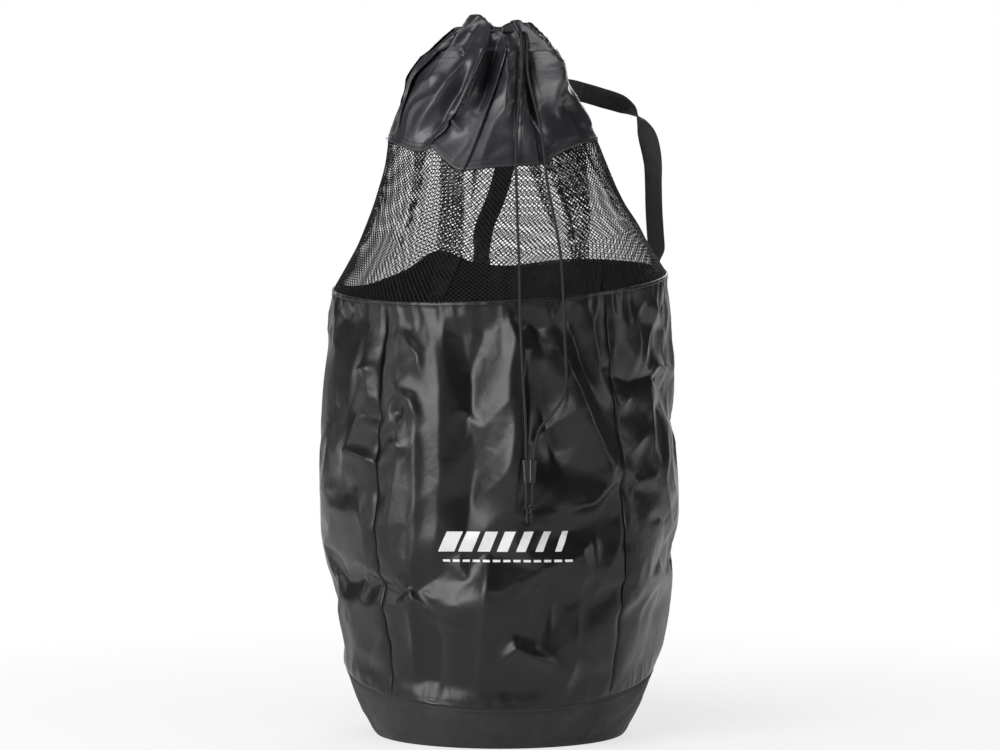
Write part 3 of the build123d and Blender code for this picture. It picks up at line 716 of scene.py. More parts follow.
def gather_skin(angle, level):
    """The plain shape from the rim to the mouth, before its pleats and folds."""
    s = sizes()
    c, d = np.cos(angle), np.sin(angle)
    edges = (
        (s.rim_radius * c, s.rim_radius * d, rim_height_at(angle)),
        (GATHER_X + s.collar_radius_x * c, s.collar_radius_y * d, collar_edge_height(angle)),
        (GATHER_X + s.casing_radius * c, s.casing_radius * d, s.casing_height + 0 * angle),
        (GATHER_X + s.mouth_radius * c, s.mouth_radius * d, mouth_height_at(angle)),
    )
    rings = np.stack([np.stack(edge, -1) for edge in edges])
    low = np.clip(np.floor(level), 0, 2).astype(int)
    share = (level - low)[..., None]
    below, above = (np.take_along_axis(rings, low[None, ..., None] + i, 0)[0] for i in (0, 1))
    # The net hangs in a hollow curve, and the collar has a soft shoulder on its left.
    left = np.maximum(-c, 0)
    hollow = -(0.003 + 0.006 * left + 0.002 * np.abs(c)) * np.sin(pi * np.clip(level, 0, 1))
    billow = bell(level, 1.80, 0.24) * (0.002 + 0.009 * left)
    return push_out(below * (1 - share) + above * share, angle, hollow + billow)


def gather_relief(angle, level, points):
    """How far the folds and gathers stand proud of that plain shape."""
    x, z = points[..., 0], points[..., 2]
    front = in_front(angle)
    folds = front * fold_relief(x, z, COLLAR_FOLDS, 1.1)
    folds = folds + (1 - front) * fold_relief(x, z, COLLAR_BACK_FOLDS, 1.1)
    crease = creased(leaning(points, 0.7, 0.7), 34, 12, (0.7, 0.7, 1.8))
    ruffle = creased(np.stack([angle * 0.11, 0 * angle, level * 0.012], -1), 24, 13)
    small = 0.0045 * crumple(points, 16, 11) * ease(0.03, 0.4, level)
    relief = 1.3 * folds * ease(0.86, 1.1, level) + small + 0.0022 * crease * ease(0.9, 1.2, level)
    return relief + 0.0150 * ruffle * ease(1.45, 2.3, level)


def pleat_walk(cloth_angle, level):
    """Where each thread of the cloth goes round the bag, and how far its layer stands off.

    cloth_angle runs once round the cloth, level is one number. Between pleats the cloth
    goes forward; in a pleat it goes forward, back and forward again."""
    here = [[float(np.interp(level, LEVELS, values)) for values in pleat] for pleat in PLEATS]
    stops = []
    stand_off = 0.0022 + 0.0030 * float(ease(1.05, 1.6, np.float64(level)))
    for turned, width in sorted(((centre + 180) % 360, width) for centre, width in here):
        centre, half = turned - 180, width / 2
        if half < 0.05:
            continue
        rise = stand_off * min(1.0, half / 3)
        stops += [(centre - half - 2, 0.0), (centre + half, rise)]
        stops += [(centre - half, -rise), (centre + half + 2, 0.0)]
    place, layer = zip((-180.0, 0.0), *stops, (180.0, 0.0))
    walked = [0.0]
    for before, after in zip(place, place[1:]):
        walked.append(walked[-1] + abs(after - before))
    thread = (cloth_angle + 180) / 360 * walked[-1]
    return np.interp(thread, walked, place), np.interp(thread, walked, layer)


def gather_points(threads, levels, inset=0.0, pleated=True):
    """Points of the gathered cloth: one row for each level, one column for each thread."""
    angle = np.array(np.broadcast_to(threads, (len(levels), threads.shape[-1])), float)
    layer = np.zeros_like(angle)
    if pleated:
        for row, level in enumerate(levels):
            angle[row], layer[row] = pleat_walk(angle[row], level)
    angle = np.radians(angle)
    level = np.repeat(np.asarray(levels, float)[:, None], angle.shape[1], 1)
    points = gather_skin(angle, level)
    return push_out(points, angle, gather_relief(angle, level, points) + layer - inset)


# ---- finishes ----
class Wiring:
    """Adds nodes to a node tree and joins them up."""

    def __init__(self, tree, prefix="ShaderNode"):
        self.tree = tree
        self.prefix = prefix

    def add(self, kind, inputs=None, **settings):
        """A new node; each of its inputs gets a plain value or another node's output."""
        node = self.tree.nodes.new(self.prefix + kind)
        for key, value in settings.items():
            setattr(node, key, value)
        for key, value in (inputs or {}).items():
            if isinstance(value, bpy.types.NodeSocket):
                self.tree.links.new(value, node.inputs[key])
            else:
                node.inputs[key].default_value = value
        return node

    def math(self, operation, *values):
        return self.add("Math", dict(enumerate(values)), operation=operation).outputs[0]


class Finish(Wiring):
    """Builds one procedural material round its shader."""

    def __init__(self, name, colour, roughness, specular=0.5):
        self.material = bpy.data.materials.new(name)
        self.material.use_nodes = True
        self.material.diffuse_color = (*colour, 1)
        super().__init__(self.material.node_tree)
        self.colour = colour
        self.inputs = self.tree.nodes["Principled BSDF"].inputs
        self.inputs["Base Color"].default_value = (*colour, 1)
        self.inputs["Roughness"].default_value = roughness
        self.inputs["Specular IOR Level"].default_value = specular
        self.place = self.add("TexCoord")
        self.normal = {}

    def link(self, value, key):
        self.tree.links.new(value, self.inputs[key])

    def mapped(self, source="Object", scale=(1, 1, 1), turn=(0, 0, 0)):
        vector = {"Vector": self.place.outputs[source], "Scale": scale, "Rotation": turn}
        return self.add("Mapping", vector).outputs["Vector"]

    def noise(self, vector, scale, detail=3.0, rough=0.5, out="Fac"):
        grain = {"Vector": vector, "Scale": scale, "Detail": detail, "Roughness": rough}
        return self.add("TexNoise", grain).outputs[out]

    def wave(self, vector, scale, direction="X", distortion=0.0):
        bands = {"Vector": vector, "Scale": scale, "Distortion": distortion}
        return self.add("TexWave", bands, bands_direction=direction).outputs["Fac"]

    def spread(self, value, low, high, to_low, to_high):
        ends = {"Value": value, "From Min": low, "From Max": high, "To Min": to_low, "To Max": to_high}
        return self.add("MapRange", ends).outputs["Result"]

    def bump(self, height, strength, distance):
        """Relief laid over whatever relief is there already."""
        relief = {"Height": height, "Strength": strength, "Distance": distance, **self.normal}
        self.normal = {"Normal": self.add("Bump", relief).outputs["Normal"]}
        self.link(self.normal["Normal"], "Normal")

    def roughness(self, pattern, smooth, rough, low=0.3):
        self.link(self.spread(pattern, low, 0.7, smooth, rough), "Roughness")

    def tint(self, pattern, dark, light):
        """The colour made darker and lighter with a pattern."""
        ramp = self.add("ValToRGB", {"Fac": pattern})
        for element, factor in zip(ramp.color_ramp.elements, (dark, light)):
            element.color = (*scaled(self.colour, factor), 1)
        self.link(ramp.outputs["Color"], "Base Color")
        return ramp.outputs["Color"]


def scaled(colour, factor):
    return tuple(min(1.0, c * factor) for c in colour)


def coated_nylon(name, colour, roughness, sheen_bump, specular, print_colour=None):
    """Coated nylon: a fine plain weave under a smooth coat, with small sharp crinkles."""
    f = Finish(name, colour, roughness, specular)
    place, weave = f.mapped(), f.mapped("UV")
    f.bump(f.math("MAXIMUM", f.wave(weave, 420, "X"), f.wave(weave, 420, "Y")), 0.10, 0.0002)
    wander = f.noise(place, 18, 2.0, out="Color")
    shift = f.add("VectorMath", {0: wander, "Scale": 0.05}, operation="SCALE")
    bent = f.add("VectorMath", {0: place, 1: shift.outputs["Vector"]}, operation="ADD")
    cells = {"Vector": bent.outputs["Vector"], "Scale": 55}
    crinkle = f.add("TexVoronoi", cells, feature="DISTANCE_TO_EDGE").outputs["Distance"]
    f.bump(f.math("MINIMUM", crinkle, 0.18), sheen_bump * 0.35, 0.004)
    f.bump(f.noise(place, 70), sheen_bump, 0.0016)
    f.roughness(f.noise(place, 14), roughness - 0.05, roughness + 0.07)
    cloth = f.tint(f.noise(place, 9, 2), 0.85, 1.2)
    if print_colour is not None:
        lay_print(f, cloth, print_colour)
    return f.material


def lay_print(f, cloth, print_colour):
    """A plain row of slanting bars that narrow to one side, with a dashed line under it."""
    half_row, bar_pitch, dash_pitch = 0.0798, 0.0228, 0.0124

    def within(*limits):
        """1 where the size of every value is below its limit, and 0 elsewhere."""
        whole = None
        for value, limit in limits:
            inside = f.math("LESS_THAN", f.math("ABSOLUTE", value), limit)
            whole = inside if whole is None else f.math("MULTIPLY", whole, inside)
        return whole

    def repeated(value, pitch):
        return f.math("WRAP", value, pitch / 2, -pitch / 2)

    apart = f.add("SeparateXYZ", {"Vector": f.place.outputs["UV"]})
    across = f.math("SUBTRACT", apart.outputs["X"], 0.008)
    up = f.math("SUBTRACT", apart.outputs["Y"], 0.250)
    slanted = f.math("SUBTRACT", across, f.math("MULTIPLY", up, 0.45))
    half_bar = f.spread(slanted, -half_row, half_row, 0.0100, 0.0034)
    row = within((repeated(slanted, bar_pitch), half_bar), (up, 0.0118), (slanted, half_row))
    under = f.math("ADD", up, 0.0225)
    line = within((under, 0.0014), (repeated(across, dash_pitch), 0.0044), (across, half_row))
    worn = f.spread(f.noise(f.mapped(), 240, 4, 0.7), 0.25, 0.4, 0.75, 1.0)
    mask = f.math("MULTIPLY", f.math("MAXIMUM", row, line), worn)
    mix = f.add("Mix", {"Factor": mask, 6: cloth, 7: (*print_colour, 1)}, data_type="RGBA")
    f.link(mix.outputs[2], "Base Color")


def base_cloth_finish(name, colour):
    """Heavy matt polyester with a plain basket weave."""
    f = Finish(name, colour, 0.72, 0.4)
    place, weave = f.mapped(), f.mapped("UV")
    f.bump(f.math("MAXIMUM", f.wave(weave, 170, "X"), f.wave(weave, 170, "Y")), 0.35, 0.0005)
    f.bump(f.noise(place, 40, 4, 0.6), 0.35, 0.003)
    f.roughness(f.noise(place, 22), 0.62, 0.80)
    f.tint(f.noise(place, 30, 4), 0.75, 1.3)
    return f.material


def woven_tape_finish(name, colour, scale, roughness=0.75):
    """Narrow woven goods: webbing, tape and hem, with ribs along and picks across."""
    f = Finish(name, colour, roughness, 0.35)
    weave = f.mapped("UV")
    ribs = f.wave(weave, scale, "X")
    f.bump(f.math("MULTIPLY", ribs, f.wave(weave, scale * 1.35, "Y", 0.6)), 0.55, 0.0007)
    fuzz = f.noise(f.mapped(), 420, 3, 0.6)
    f.bump(fuzz, 0.2, 0.0006)
    f.tint(f.math("MULTIPLY", ribs, fuzz), 0.7, 1.5)
    f.roughness(fuzz, roughness - 0.08, roughness + 0.1)
    return f.material


def net_finish(name, colour):
    """Soft matt net yarn."""
    f = Finish(name, colour, 0.62, 0.20)
    place = f.mapped()
    f.bump(f.noise(place, 700, 2), 0.3, 0.0004)
    f.tint(f.noise(place, 60), 0.8, 1.35)
    f.roughness(f.noise(place, 120, 2), 0.52, 0.72)
    return f.material


def cord_finish(name, colour):
    """Braided cord: two crossed sets of slanting strands, with a little fuzz."""
    f = Finish(name, colour, 0.68, 0.4)
    turns = ((0.7, 0.5, 0.3), (-0.7, -0.5, 0.3))
    braid = f.math("MAXIMUM", *(f.wave(f.mapped(turn=turn), 210, "Z") for turn in turns))
    f.bump(braid, 0.5, 0.0006)
    fuzz = f.noise(f.mapped(), 900)
    f.bump(fuzz, 0.2, 0.0003)
    f.tint(f.math("MULTIPLY", braid, fuzz), 0.7, 2.0)
    return f.material


def plastic_finish(name, colour):
    """Smooth moulded plastic with faint scuffs."""
    f = Finish(name, colour, 0.24, 0.5)
    place = f.mapped()
    f.bump(f.noise(place, 500), 0.08, 0.0003)
    f.roughness(f.noise(f.mapped(scale=(1, 1, 0.2)), 380, 4, 0.65), 0.18, 0.42, 0.35)
    f.tint(f.noise(place, 90), 0.8, 1.5)
    return f.material


def finish(name):
    """The named material, made the first time that it is asked for."""
    if name not in FINISHES:
        c = colours()
        body, tape, nylon = tuple(c.body), tuple(c.tape), (0.33, 0.20, 0.36)
        maker, *values = {
            "body_nylon": (coated_nylon, body, *nylon),
            "front_nylon": (coated_nylon, body, *nylon, tuple(c.print)),
            # The panels' inner face: a matt coating whose colour is the body's painted half as dark, which
            # is painted shade for the inside of the bag.
            "inner_coating": (base_cloth_finish, scaled(body, 0.5)),
            "collar_nylon": (coated_nylon, tuple(c.collar), 0.38, 0.16, 0.60),
            "base_cloth": (base_cloth_finish, tuple(c.base)),
            "open_net": (net_finish, tuple(c.net)),
            "webbing": (woven_tape_finish, tuple(c.webbing), 130),
            "binding_tape": (woven_tape_finish, tape, 260, 0.6),
            "braided_cord": (cord_finish, tuple(c.cord)),
            "sewing_thread": (woven_tape_finish, scaled(tape, 1.6), 600, 0.5),
            "slider_plastic": (plastic_finish, tuple(c.plastic)),
        }[name]
        FINISHES[name] = maker(name, *values)
    return FINISHES[name]


# ---- node trees for what repeats ----
def new_tree(name, geometry, result, numbers):
    """A geometry node tree with named inputs: its wiring, its start node and its input ids."""
    tree = bpy.data.node_groups.new(name, "GeometryNodeTree")

    def socket(label, in_out, kind):
        return tree.interface.new_socket(label, in_out=in_out, socket_type="NodeSocket" + kind)

    socket(geometry, "INPUT", "Geometry")
    ids = {}
    for label, default in numbers.items():
        number = socket(label, "INPUT", "Float")
        number.default_value = default
        number.min_value = 0.0
        ids[label] = number.identifier
    ids["Finish"] = socket("Finish", "INPUT", "Material").identifier
    socket(result, "OUTPUT", "Geometry")
    w = Wiring(tree, "")
    return w, w.add("NodeGroupInput"), ids


def end_tree(w, start, geometry):
    """Ends a tree with real geometry that has its finish."""
    real = w.add("GeometryNodeRealizeInstances", {"Geometry": geometry})
    paint = {"Geometry": real.outputs["Geometry"], "Material": start.outputs["Finish"]}
    w.add("NodeGroupOutput", {0: w.add("GeometryNodeSetMaterial", paint).outputs["Geometry"]})


def net_holes_tree():
    """Cuts a hole in every face of a sheet, which leaves the net's strands."""
    w, start, ids = new_tree("net_holes", "Sheet", "Net", {"Hole share": 0.68})
    sheet = {"Mesh": start.outputs["Sheet"], "Offset Scale": 0.0, "Individual": True}
    inset = w.add("GeometryNodeExtrudeMesh", sheet, mode="FACES")
    top = inset.outputs["Top"]
    faces = {"Geometry": inset.outputs["Mesh"], "Selection": top, "Scale": start.outputs["Hole share"]}
    shrunk = w.add("GeometryNodeScaleElements", faces).outputs["Geometry"]
    cut = w.add("GeometryNodeDeleteGeometry", {"Geometry": shrunk, "Selection": top}, domain="FACE")
    end_tree(w, start, cut.outputs["Geometry"])
    return w.tree, ids


def stitches_tree():
    """Lays short stitches of thread end to end along every edge path of a mesh."""
    numbers = {"Stitch pitch": 0.0042, "Stitch length": 0.0028, "Thread radius": 0.0003}
    w, start, ids = new_tree("stitches", "Paths", "Stitches", numbers)
    pitch, length, radius = (start.outputs[key] for key in numbers)
    curve = w.add("GeometryNodeMeshToCurve", {"Mesh": start.outputs["Paths"]}).outputs["Curve"]
    spaced = w.add("GeometryNodeResampleCurve", {"Curve": curve, "Length": pitch}, mode="LENGTH")
    tangent = w.add("GeometryNodeInputTangent").outputs["Tangent"]
    turn = w.add("FunctionNodeAlignRotationToVector", {"Vector": tangent}, axis="Z")
    stitch = w.add("GeometryNodeMeshCylinder", {"Vertices": 6, "Radius": radius, "Depth": length})
    laid = {"Points": spaced.outputs[0], "Instance": stitch.outputs["Mesh"], "Rotation": turn.outputs[0]}
    end_tree(w, start, w.add("GeometryNodeInstanceOnPoints", laid).outputs["Instances"])
    return w.tree, ids


def run_tree(piece, tree, ids, values):
    """Puts a node tree on the piece and turns the result into its plain mesh."""
    modifier = piece.modifiers.new(tree.name, "NODES")
    modifier.node_group = tree
    for key, value in values.items():
        modifier[ids[key]] = value
    apply_modifiers(piece)


# ---- strips, tubes and cords ----
def swept(name, centres, across, up, outline, closed=False):
    """A closed bar: outline points (across, up) carried along centres."""
    outline = np.asarray(outline, float)
    rings = centres[:, None] + across[:, None] * outline[None, :, :1] + up[:, None] * outline[None, :, 1:]
    rows, columns = rings.shape[:2]
    faces = grid_faces(rows, columns, True)
    last = (rows - 1) * columns
    if closed:
        faces += [[last + c, last + (c + 1) % columns, (c + 1) % columns, c] for c in range(columns)]
    else:
        faces += [list(range(columns))[::-1], list(range(last, last + columns))]
    along = np.concatenate([[0], np.cumsum(np.linalg.norm(np.diff(centres, axis=0), axis=1))])
    piece = mesh_object(name, rings, faces, pairs(outline[:, 0], along[:, None]))
    solid = bmesh.new()
    solid.from_mesh(piece.data)
    bmesh.ops.recalc_face_normals(solid, faces=solid.faces[:])
    solid.to_mesh(piece.data)
    solid.free()
    return piece


def flat_outline(width, thickness):
    """A strip's outline with rounded edges."""
    w, t = width / 2, thickness / 2
    soft = min(w, t) * 0.8
    ends = [(-w, -t + soft), (-w + soft, -t), (-w / 2, -t), (0, -t)]
    under = ends + [(w / 2, -t), (w - soft, -t), (w, -t + soft)]
    return under + [(-x, -z) for x, z in under]


def lay_strip(name, line, facing, width, thickness, look, slot, node, closed=False):
    """A flat tape or hem along a line, facing outward, with its finish."""
    along = np.roll(line, -1, 0) - np.roll(line, 1, 0) if closed else np.gradient(line, axis=0)
    along = unit(along)
    outward = square_to(facing, along)
    piece = swept(name, line, np.cross(along, outward), outward, flat_outline(width, thickness), closed)
    finish_piece(piece, look, slot, node)


def lay_tape(name, line, facing, node, width=TAPE_WIDTH, closed=False):
    lay_strip(name, line, facing, width, TAPE_THICKNESS, "binding_tape", "binding_tape", node, closed)


def cord_curve(name, points, diameter):
    """A smooth cord: one NURBS spline with the points as its control points."""
    curve = bpy.data.curves.new(name, "CURVE")
    curve.dimensions = "3D"
    curve.bevel_depth = diameter / 2
    curve.bevel_resolution = 3
    curve.resolution_u = 8
    curve.use_fill_caps = True
    spline = curve.splines.new("NURBS")
    spline.points.add(len(points) - 1)
    for point, place in zip(spline.points, points):
        point.co = (*place, 1)
    spline.order_u = 3
    spline.use_endpoint_u = True
    return add_object(name, curve)


def knot_tube(name, centre, diameter):
    """A tied knot: a fat interlocked turn of cord."""
    turn = once_round(60, 0)
    tight = 0.0021
    loops = [
        tight * (np.sin(turn) + 1.5 * np.sin(2 * turn)),
        tight * 0.85 * np.sin(3 * turn),
        tight * (np.cos(turn) - 1.5 * np.cos(2 * turn)),
    ]
    path = np.stack(loops, -1) + np.asarray(centre)
    along = unit(np.roll(path, -1, 0) - np.roll(path, 1, 0))
    side = unit(np.cross(along, np.array([0.31, 0.87, 0.38])))
    ring = once_round(10, 0)
    outline = np.stack([np.cos(ring), np.sin(ring)], -1) * diameter * 0.48
    return swept(name, path, side, np.cross(side, along), outline, True)


# ---- the operators, one for each group of pieces ----
class BALLBAG_OT_stage(bpy.types.Operator):
    """Make the floor, the backdrop, the soft lamps and the camera."""

    bl_idname = "ballbag.stage"
    bl_label = "Stage"

    def execute(self, context):
        scene = context.scene
        scene.view_settings.view_transform = "Standard"
        camera = bpy.data.cameras.new("camera")
        camera.sensor_width = 36.0
        camera.lens = 92.16
        camera.clip_end = 50.0
        scene.camera = add_object("camera", camera)
        scene.camera.location = (0, -3.2, 0.445)
        scene.camera.rotation_euler = (pi / 2, 0, 0)
        self.soft_world(scene)
        floor_rim = polar(9, once_round(64, 0), -0.0002)
        arc = np.linspace(radians(55), radians(125), 29)
        floor = mesh_object("floor", floor_rim, [list(range(64))])
        backdrop = grid_object("backdrop", np.stack([polar(5, arc, height) for height in (0.0, 4.5)]))
        for piece, share in ((floor, 0.72), (backdrop, 1.0)):
            piece.data.materials.append(self.white_paper(piece.name, share))
        # name, place, height of what it points at, width, height, watts
        lamps = (
            ("key_left", (-1.90, -2.15, 0.95), 0.42, 1.8, 1.5, 70),
            ("side_left", (-2.6, -0.1, 0.9), 0.42, 0.5, 1.2, 7),
            ("side_right", (2.45, -0.75, 0.9), 0.42, 0.5, 1.2, 8),
            ("top", (-0.3, -0.7, 2.7), 0.6, 1.2, 1.2, 22),
            ("back", (0.7, 2.6, 1.9), 0.5, 1.6, 1.6, 30),
        )
        for name, place, target, width, height, watts in lamps:
            light = bpy.data.lights.new(name, "AREA")
            light.shape = "RECTANGLE"
            light.size = width
            light.size_y = height
            light.energy = watts
            lamp = add_object(name, light)
            lamp.location = place
            aim = Vector((0, 0, target)) - Vector(place)
            lamp.rotation_euler = aim.to_track_quat("-Z", "Y").to_euler()
        return {"FINISHED"}

    def soft_world(self, scene):
        """A white surround that gives only a dim light."""
        scene.world = bpy.data.worlds.new("studio")
        scene.world.use_nodes = True
        w = Wiring(scene.world.node_tree)
        w.tree.nodes.clear()
        dim = w.add("Background", {"Color": (0.10, 0.102, 0.108, 1)}).outputs[0]
        white = w.add("Background", {"Color": (1, 1, 1, 1)}).outputs[0]
        rays = w.add("LightPath").outputs
        seen = w.math("MAXIMUM", rays["Is Camera Ray"], rays["Is Transmission Ray"])
        w.add("OutputWorld", {"Surface": w.add("MixShader", {"Fac": seen, 1: dim, 2: white}).outputs[0]})

    def white_paper(self, name, share):
        """White paper that stays white to the eye and keeps a soft shadow."""
        material = bpy.data.materials.new(name + "_paper")
        material.use_nodes = True
        w = Wiring(material.node_tree)
        w.tree.nodes.clear()
        paper = w.add("BsdfDiffuse", {"Color": (0.93, 0.93, 0.93, 1)}).outputs[0]
        glow = w.add("Emission").outputs[0]
        rays = w.add("LightPath").outputs
        seen = w.math("MAXIMUM", rays["Is Camera Ray"], rays["Is Glossy Ray"])
        seen = w.math("MAXIMUM", seen, rays["Is Transmission Ray"])
        away = w.add("VectorMath", {0: w.add("TexCoord").outputs["Object"]}, operation="LENGTH")
        ends = {"Value": away.outputs["Value"], "From Min": 0.35, "From Max": 1.3, "To Min": share}
        weight = w.math("MULTIPLY", seen, w.add("MapRange", ends).outputs["Result"])
        mix = w.add("MixShader", {"Fac": weight, 1: paper, 2: glow})
        w.add("OutputMaterial", {"Surface": mix.outputs[0]})
        return material


class BALLBAG_OT_drawcord(bpy.types.Operator):
    """Make the drawcord's loop, its two hanging strands, the knot and the slider's finish."""

    bl_idname = "ballbag.drawcord"
    bl_label = "Drawcord"

    def execute(self, context):
        s = sizes()
        knot = knot_tube("cord_knot", KNOT, s.cord_diameter)
        finish_piece(knot, "braided_cord", "cord", "drawcord_knot")
        slider = frame["nodes"]["cord_slider"]
        slider.data.materials.clear()
        slider.data.materials.append(finish("slider_plastic"))
        tails = []
        for name, side in (("cord_tail_left", -1), ("cord_tail_right", 1)):
            x = KNOT[0] + side * 0.0018
            route = (
                (x, -0.2225, 0.290), (x + side * 0.0003, -0.2226, 0.284),
                (x + side * 0.0012, -0.2224, 0.277), (x + side * 0.0010, -0.2222, 0.2725),
            )
            tails.append(cord_curve(name, route, s.cord_diameter * 0.9))
            finish_piece(tails[-1], "braided_cord", "cord")
        for side, route, length, with_pieces in (
            ("left", LEFT_STRAND, 0.6294, [knot, slider, *tails]),
            ("right", RIGHT_STRAND, 0.6443, []),
        ):
            strand = cord_curve("cord_strand_" + side, route, s.cord_diameter)
            finish_piece(strand, "braided_cord", "cord", "drawcord_" + side + "_strand")
        ring = np.linspace(radians(-47 + 3), radians(313 - 11), 25)
        route = [(GATHER_X + LOOP_RADIUS * cos(a), LOOP_RADIUS * sin(a), LOOP_HEIGHT) for a in ring]
        loop = cord_curve("cord_in_casing", route, s.cord_diameter)
        finish_piece(loop, "braided_cord", "cord", "drawcord_loop")
        return {"FINISHED"}


class BALLBAG_OT_base(bpy.types.Operator):
    """Make the round base, its edge tape, the upright base band and its seam tape."""

    bl_idname = "ballbag.base"
    bl_label = "Base"

    def execute(self, context):
        self.make_base()
        self.make_band()
        s = sizes()
        ring = once_round(240)
        edge = polar(s.base_radius - 0.0030, ring, 0.0028)
        upwards = np.tile((0.0, 0.0, 1.0), (240, 1))
        lay_tape("base_edge_tape", edge, upwards, "base_edge_binding", closed=True)
        seam = band_seam_line(ring, -0.0024)
        facing = radial(seam) - np.array((0, 0, 0.30))
        lay_tape("band_seam_tape", seam, facing, "band_seam_binding", 0.011, True)
        return {"FINISHED"}

    def make_base(self):
        """The round base: rings of points that close on one in the middle."""
        s = sizes()
        rings, columns = 30, 240
        share = np.linspace(1, 0.0, rings)[:, None]
        points = polar(share * (s.base_radius + 0.0024), once_round(columns), FLOOR_GAP)
        lift = 0.0018 * np.maximum(crumple(points, 16, 21), 0)
        points[..., 2] += lift * np.minimum(1, (1 - share) * 6)
        middle = (rings - 1) * columns
        vertices = points.reshape(-1, 3)[: middle + 1]
        vertices[middle] = points[-1, -1]
        inner = middle - columns
        faces = grid_faces(rings - 1, columns, True)
        faces += [[inner + c, inner + (c + 1) % columns, middle] for c in range(columns)]
        base = mesh_object("base_sheet", vertices, faces, vertices[:, :2])
        thicken(base, HEAVY_CLOTH)
        finish_piece(base, "base_cloth", "base_cloth", "base_disc")

    def make_band(self):
        """The upright band, turned up from the base and cut off slantwise at its seam."""
        s = sizes()
        angle = once_round(640)
        share = np.linspace(0, 1, 46)[:, None]
        height = 0.0006 + (band_height_at(angle) - 0.0006) * share
        turn_up = np.sqrt(np.clip(height / s.heel_height, 0, 1))
        heel = s.base_radius + (s.heel_radius - s.base_radius) * turn_up
        radius = np.where(height < s.heel_height, heel, body_radius(height))
        points = polar(radius, angle, height)
        relief = 0.0035 * crumple(points, 12, 31, (1, 1, 1.5))
        relief += 0.0012 * creased(points, 34, 32)
        relief += fold_relief(points[..., 0], points[..., 2], BAND_FOLDS)
        hold = ease(0.0, 0.22, share) * ease(0.0, 0.25, 1 - share)
        points = polar(radius + relief * hold, angle, height)
        uv = pairs(angle * s.band_top_radius, height)
        band = grid_object("base_side_band", points, uv, closed=True)
        thicken(band, HEAVY_CLOTH)
        finish_piece(band, "base_cloth", "base_cloth", "base_band")


class BALLBAG_OT_panels(bpy.types.Operator):
    """Make the four nylon panels of the body, the tapes inside their seams and the rim's hem."""

    bl_idname = "ballbag.panels"
    bl_label = "Body panels"

    def execute(self, context):
        s = sizes()
        share = np.linspace(0, 1, PANEL_ROWS)
        for number, name in enumerate(PANEL_NAMES):
            whole_turn = 1 if number == 3 else 0
            start = SEAM_ANGLES[number]
            end = SEAM_ANGLES[(number + 1) % 4] + 360 * whole_turn
            columns = int(round((end - start) * PANEL_COLUMNS_PER_DEGREE)) + 1
            step, level = np.meshgrid(np.linspace(0, 1, columns), share)
            left = seam_angle(number, level)
            right = seam_angle(number + 1, level) + 2 * pi * whole_turn
            angle = left + (right - left) * step
            points = body_cloth(angle, level)
            uv = pairs((angle - radians((start + end) / 2)) * s.belly_radius, points[..., 2])
            panel = grid_object(name + "_cloth", points, uv)
            thicken(panel, s.cloth_thickness, lining="inner_coating")
            look = "front_nylon" if name == "front_panel" else "body_nylon"
            finish_piece(panel, look, "coated_nylon", name)
        level = np.linspace(0.035, 0.985, 90)
        for number, name in enumerate(TAPE_NAMES):
            line = body_line(seam_angle(number, level), level, TAPE_INSET)
            lay_tape(name + "_inner_tape", line, radial(line), name + "_seam_tape")
        ring = once_round(420)
        edge = body_line(ring, np.full(420, 0.995))
        edge[:, 2] = rim_height_at(ring) - 0.0022
        edge += radial(edge) * 0.0003
        hem = ("body_nylon", "coated_nylon", "rim_binding", True)
        lay_strip("rim_hem", edge, radial(edge), 0.0048, 0.0018, *hem)
        return {"FINISHED"}


class BALLBAG_OT_net(bpy.types.Operator):
    """Make the net band, with its holes and its doubled gathers."""

    bl_idname = "ballbag.net"
    bl_label = "Net band"

    def execute(self, context):
        s = sizes()
        tree, ids = net_holes_tree()
        columns = int(round(s.cloth_round / (s.net_pitch * 2**0.5) / 2)) * 2
        levels = np.linspace(-0.012, 1.01, NET_ROWS)
        half = columns // 2
        width = half + 1
        for name, first in (("net_front", -180.0), ("net_back", 0.0)):
            shift = np.arange(NET_ROWS)[:, None] % 2 * 0.5
            threads = first + (np.arange(width) + shift) * 360 / columns
            points = gather_points((threads + 180) % 360 - 180, levels, 0.0010)
            faces = []
            for row in range(NET_ROWS - 2):
                odd = row % 2
                low, middle, high = row * width, (row + 1) * width, (row + 2) * width
                for c in range(half) if odd else range(1, width):
                    faces.append([low + c, middle + c + odd, high + c, middle + c - 1 + odd])
            net = mesh_object(name, points, faces)
            run_tree(net, tree, ids, {"Hole share": 0.80, "Finish": finish("open_net")})
            thicken(net, s.net_thickness, 0.0)
            finish_piece(net, "open_net", "open_mesh", "mesh_band")
        return {"FINISHED"}


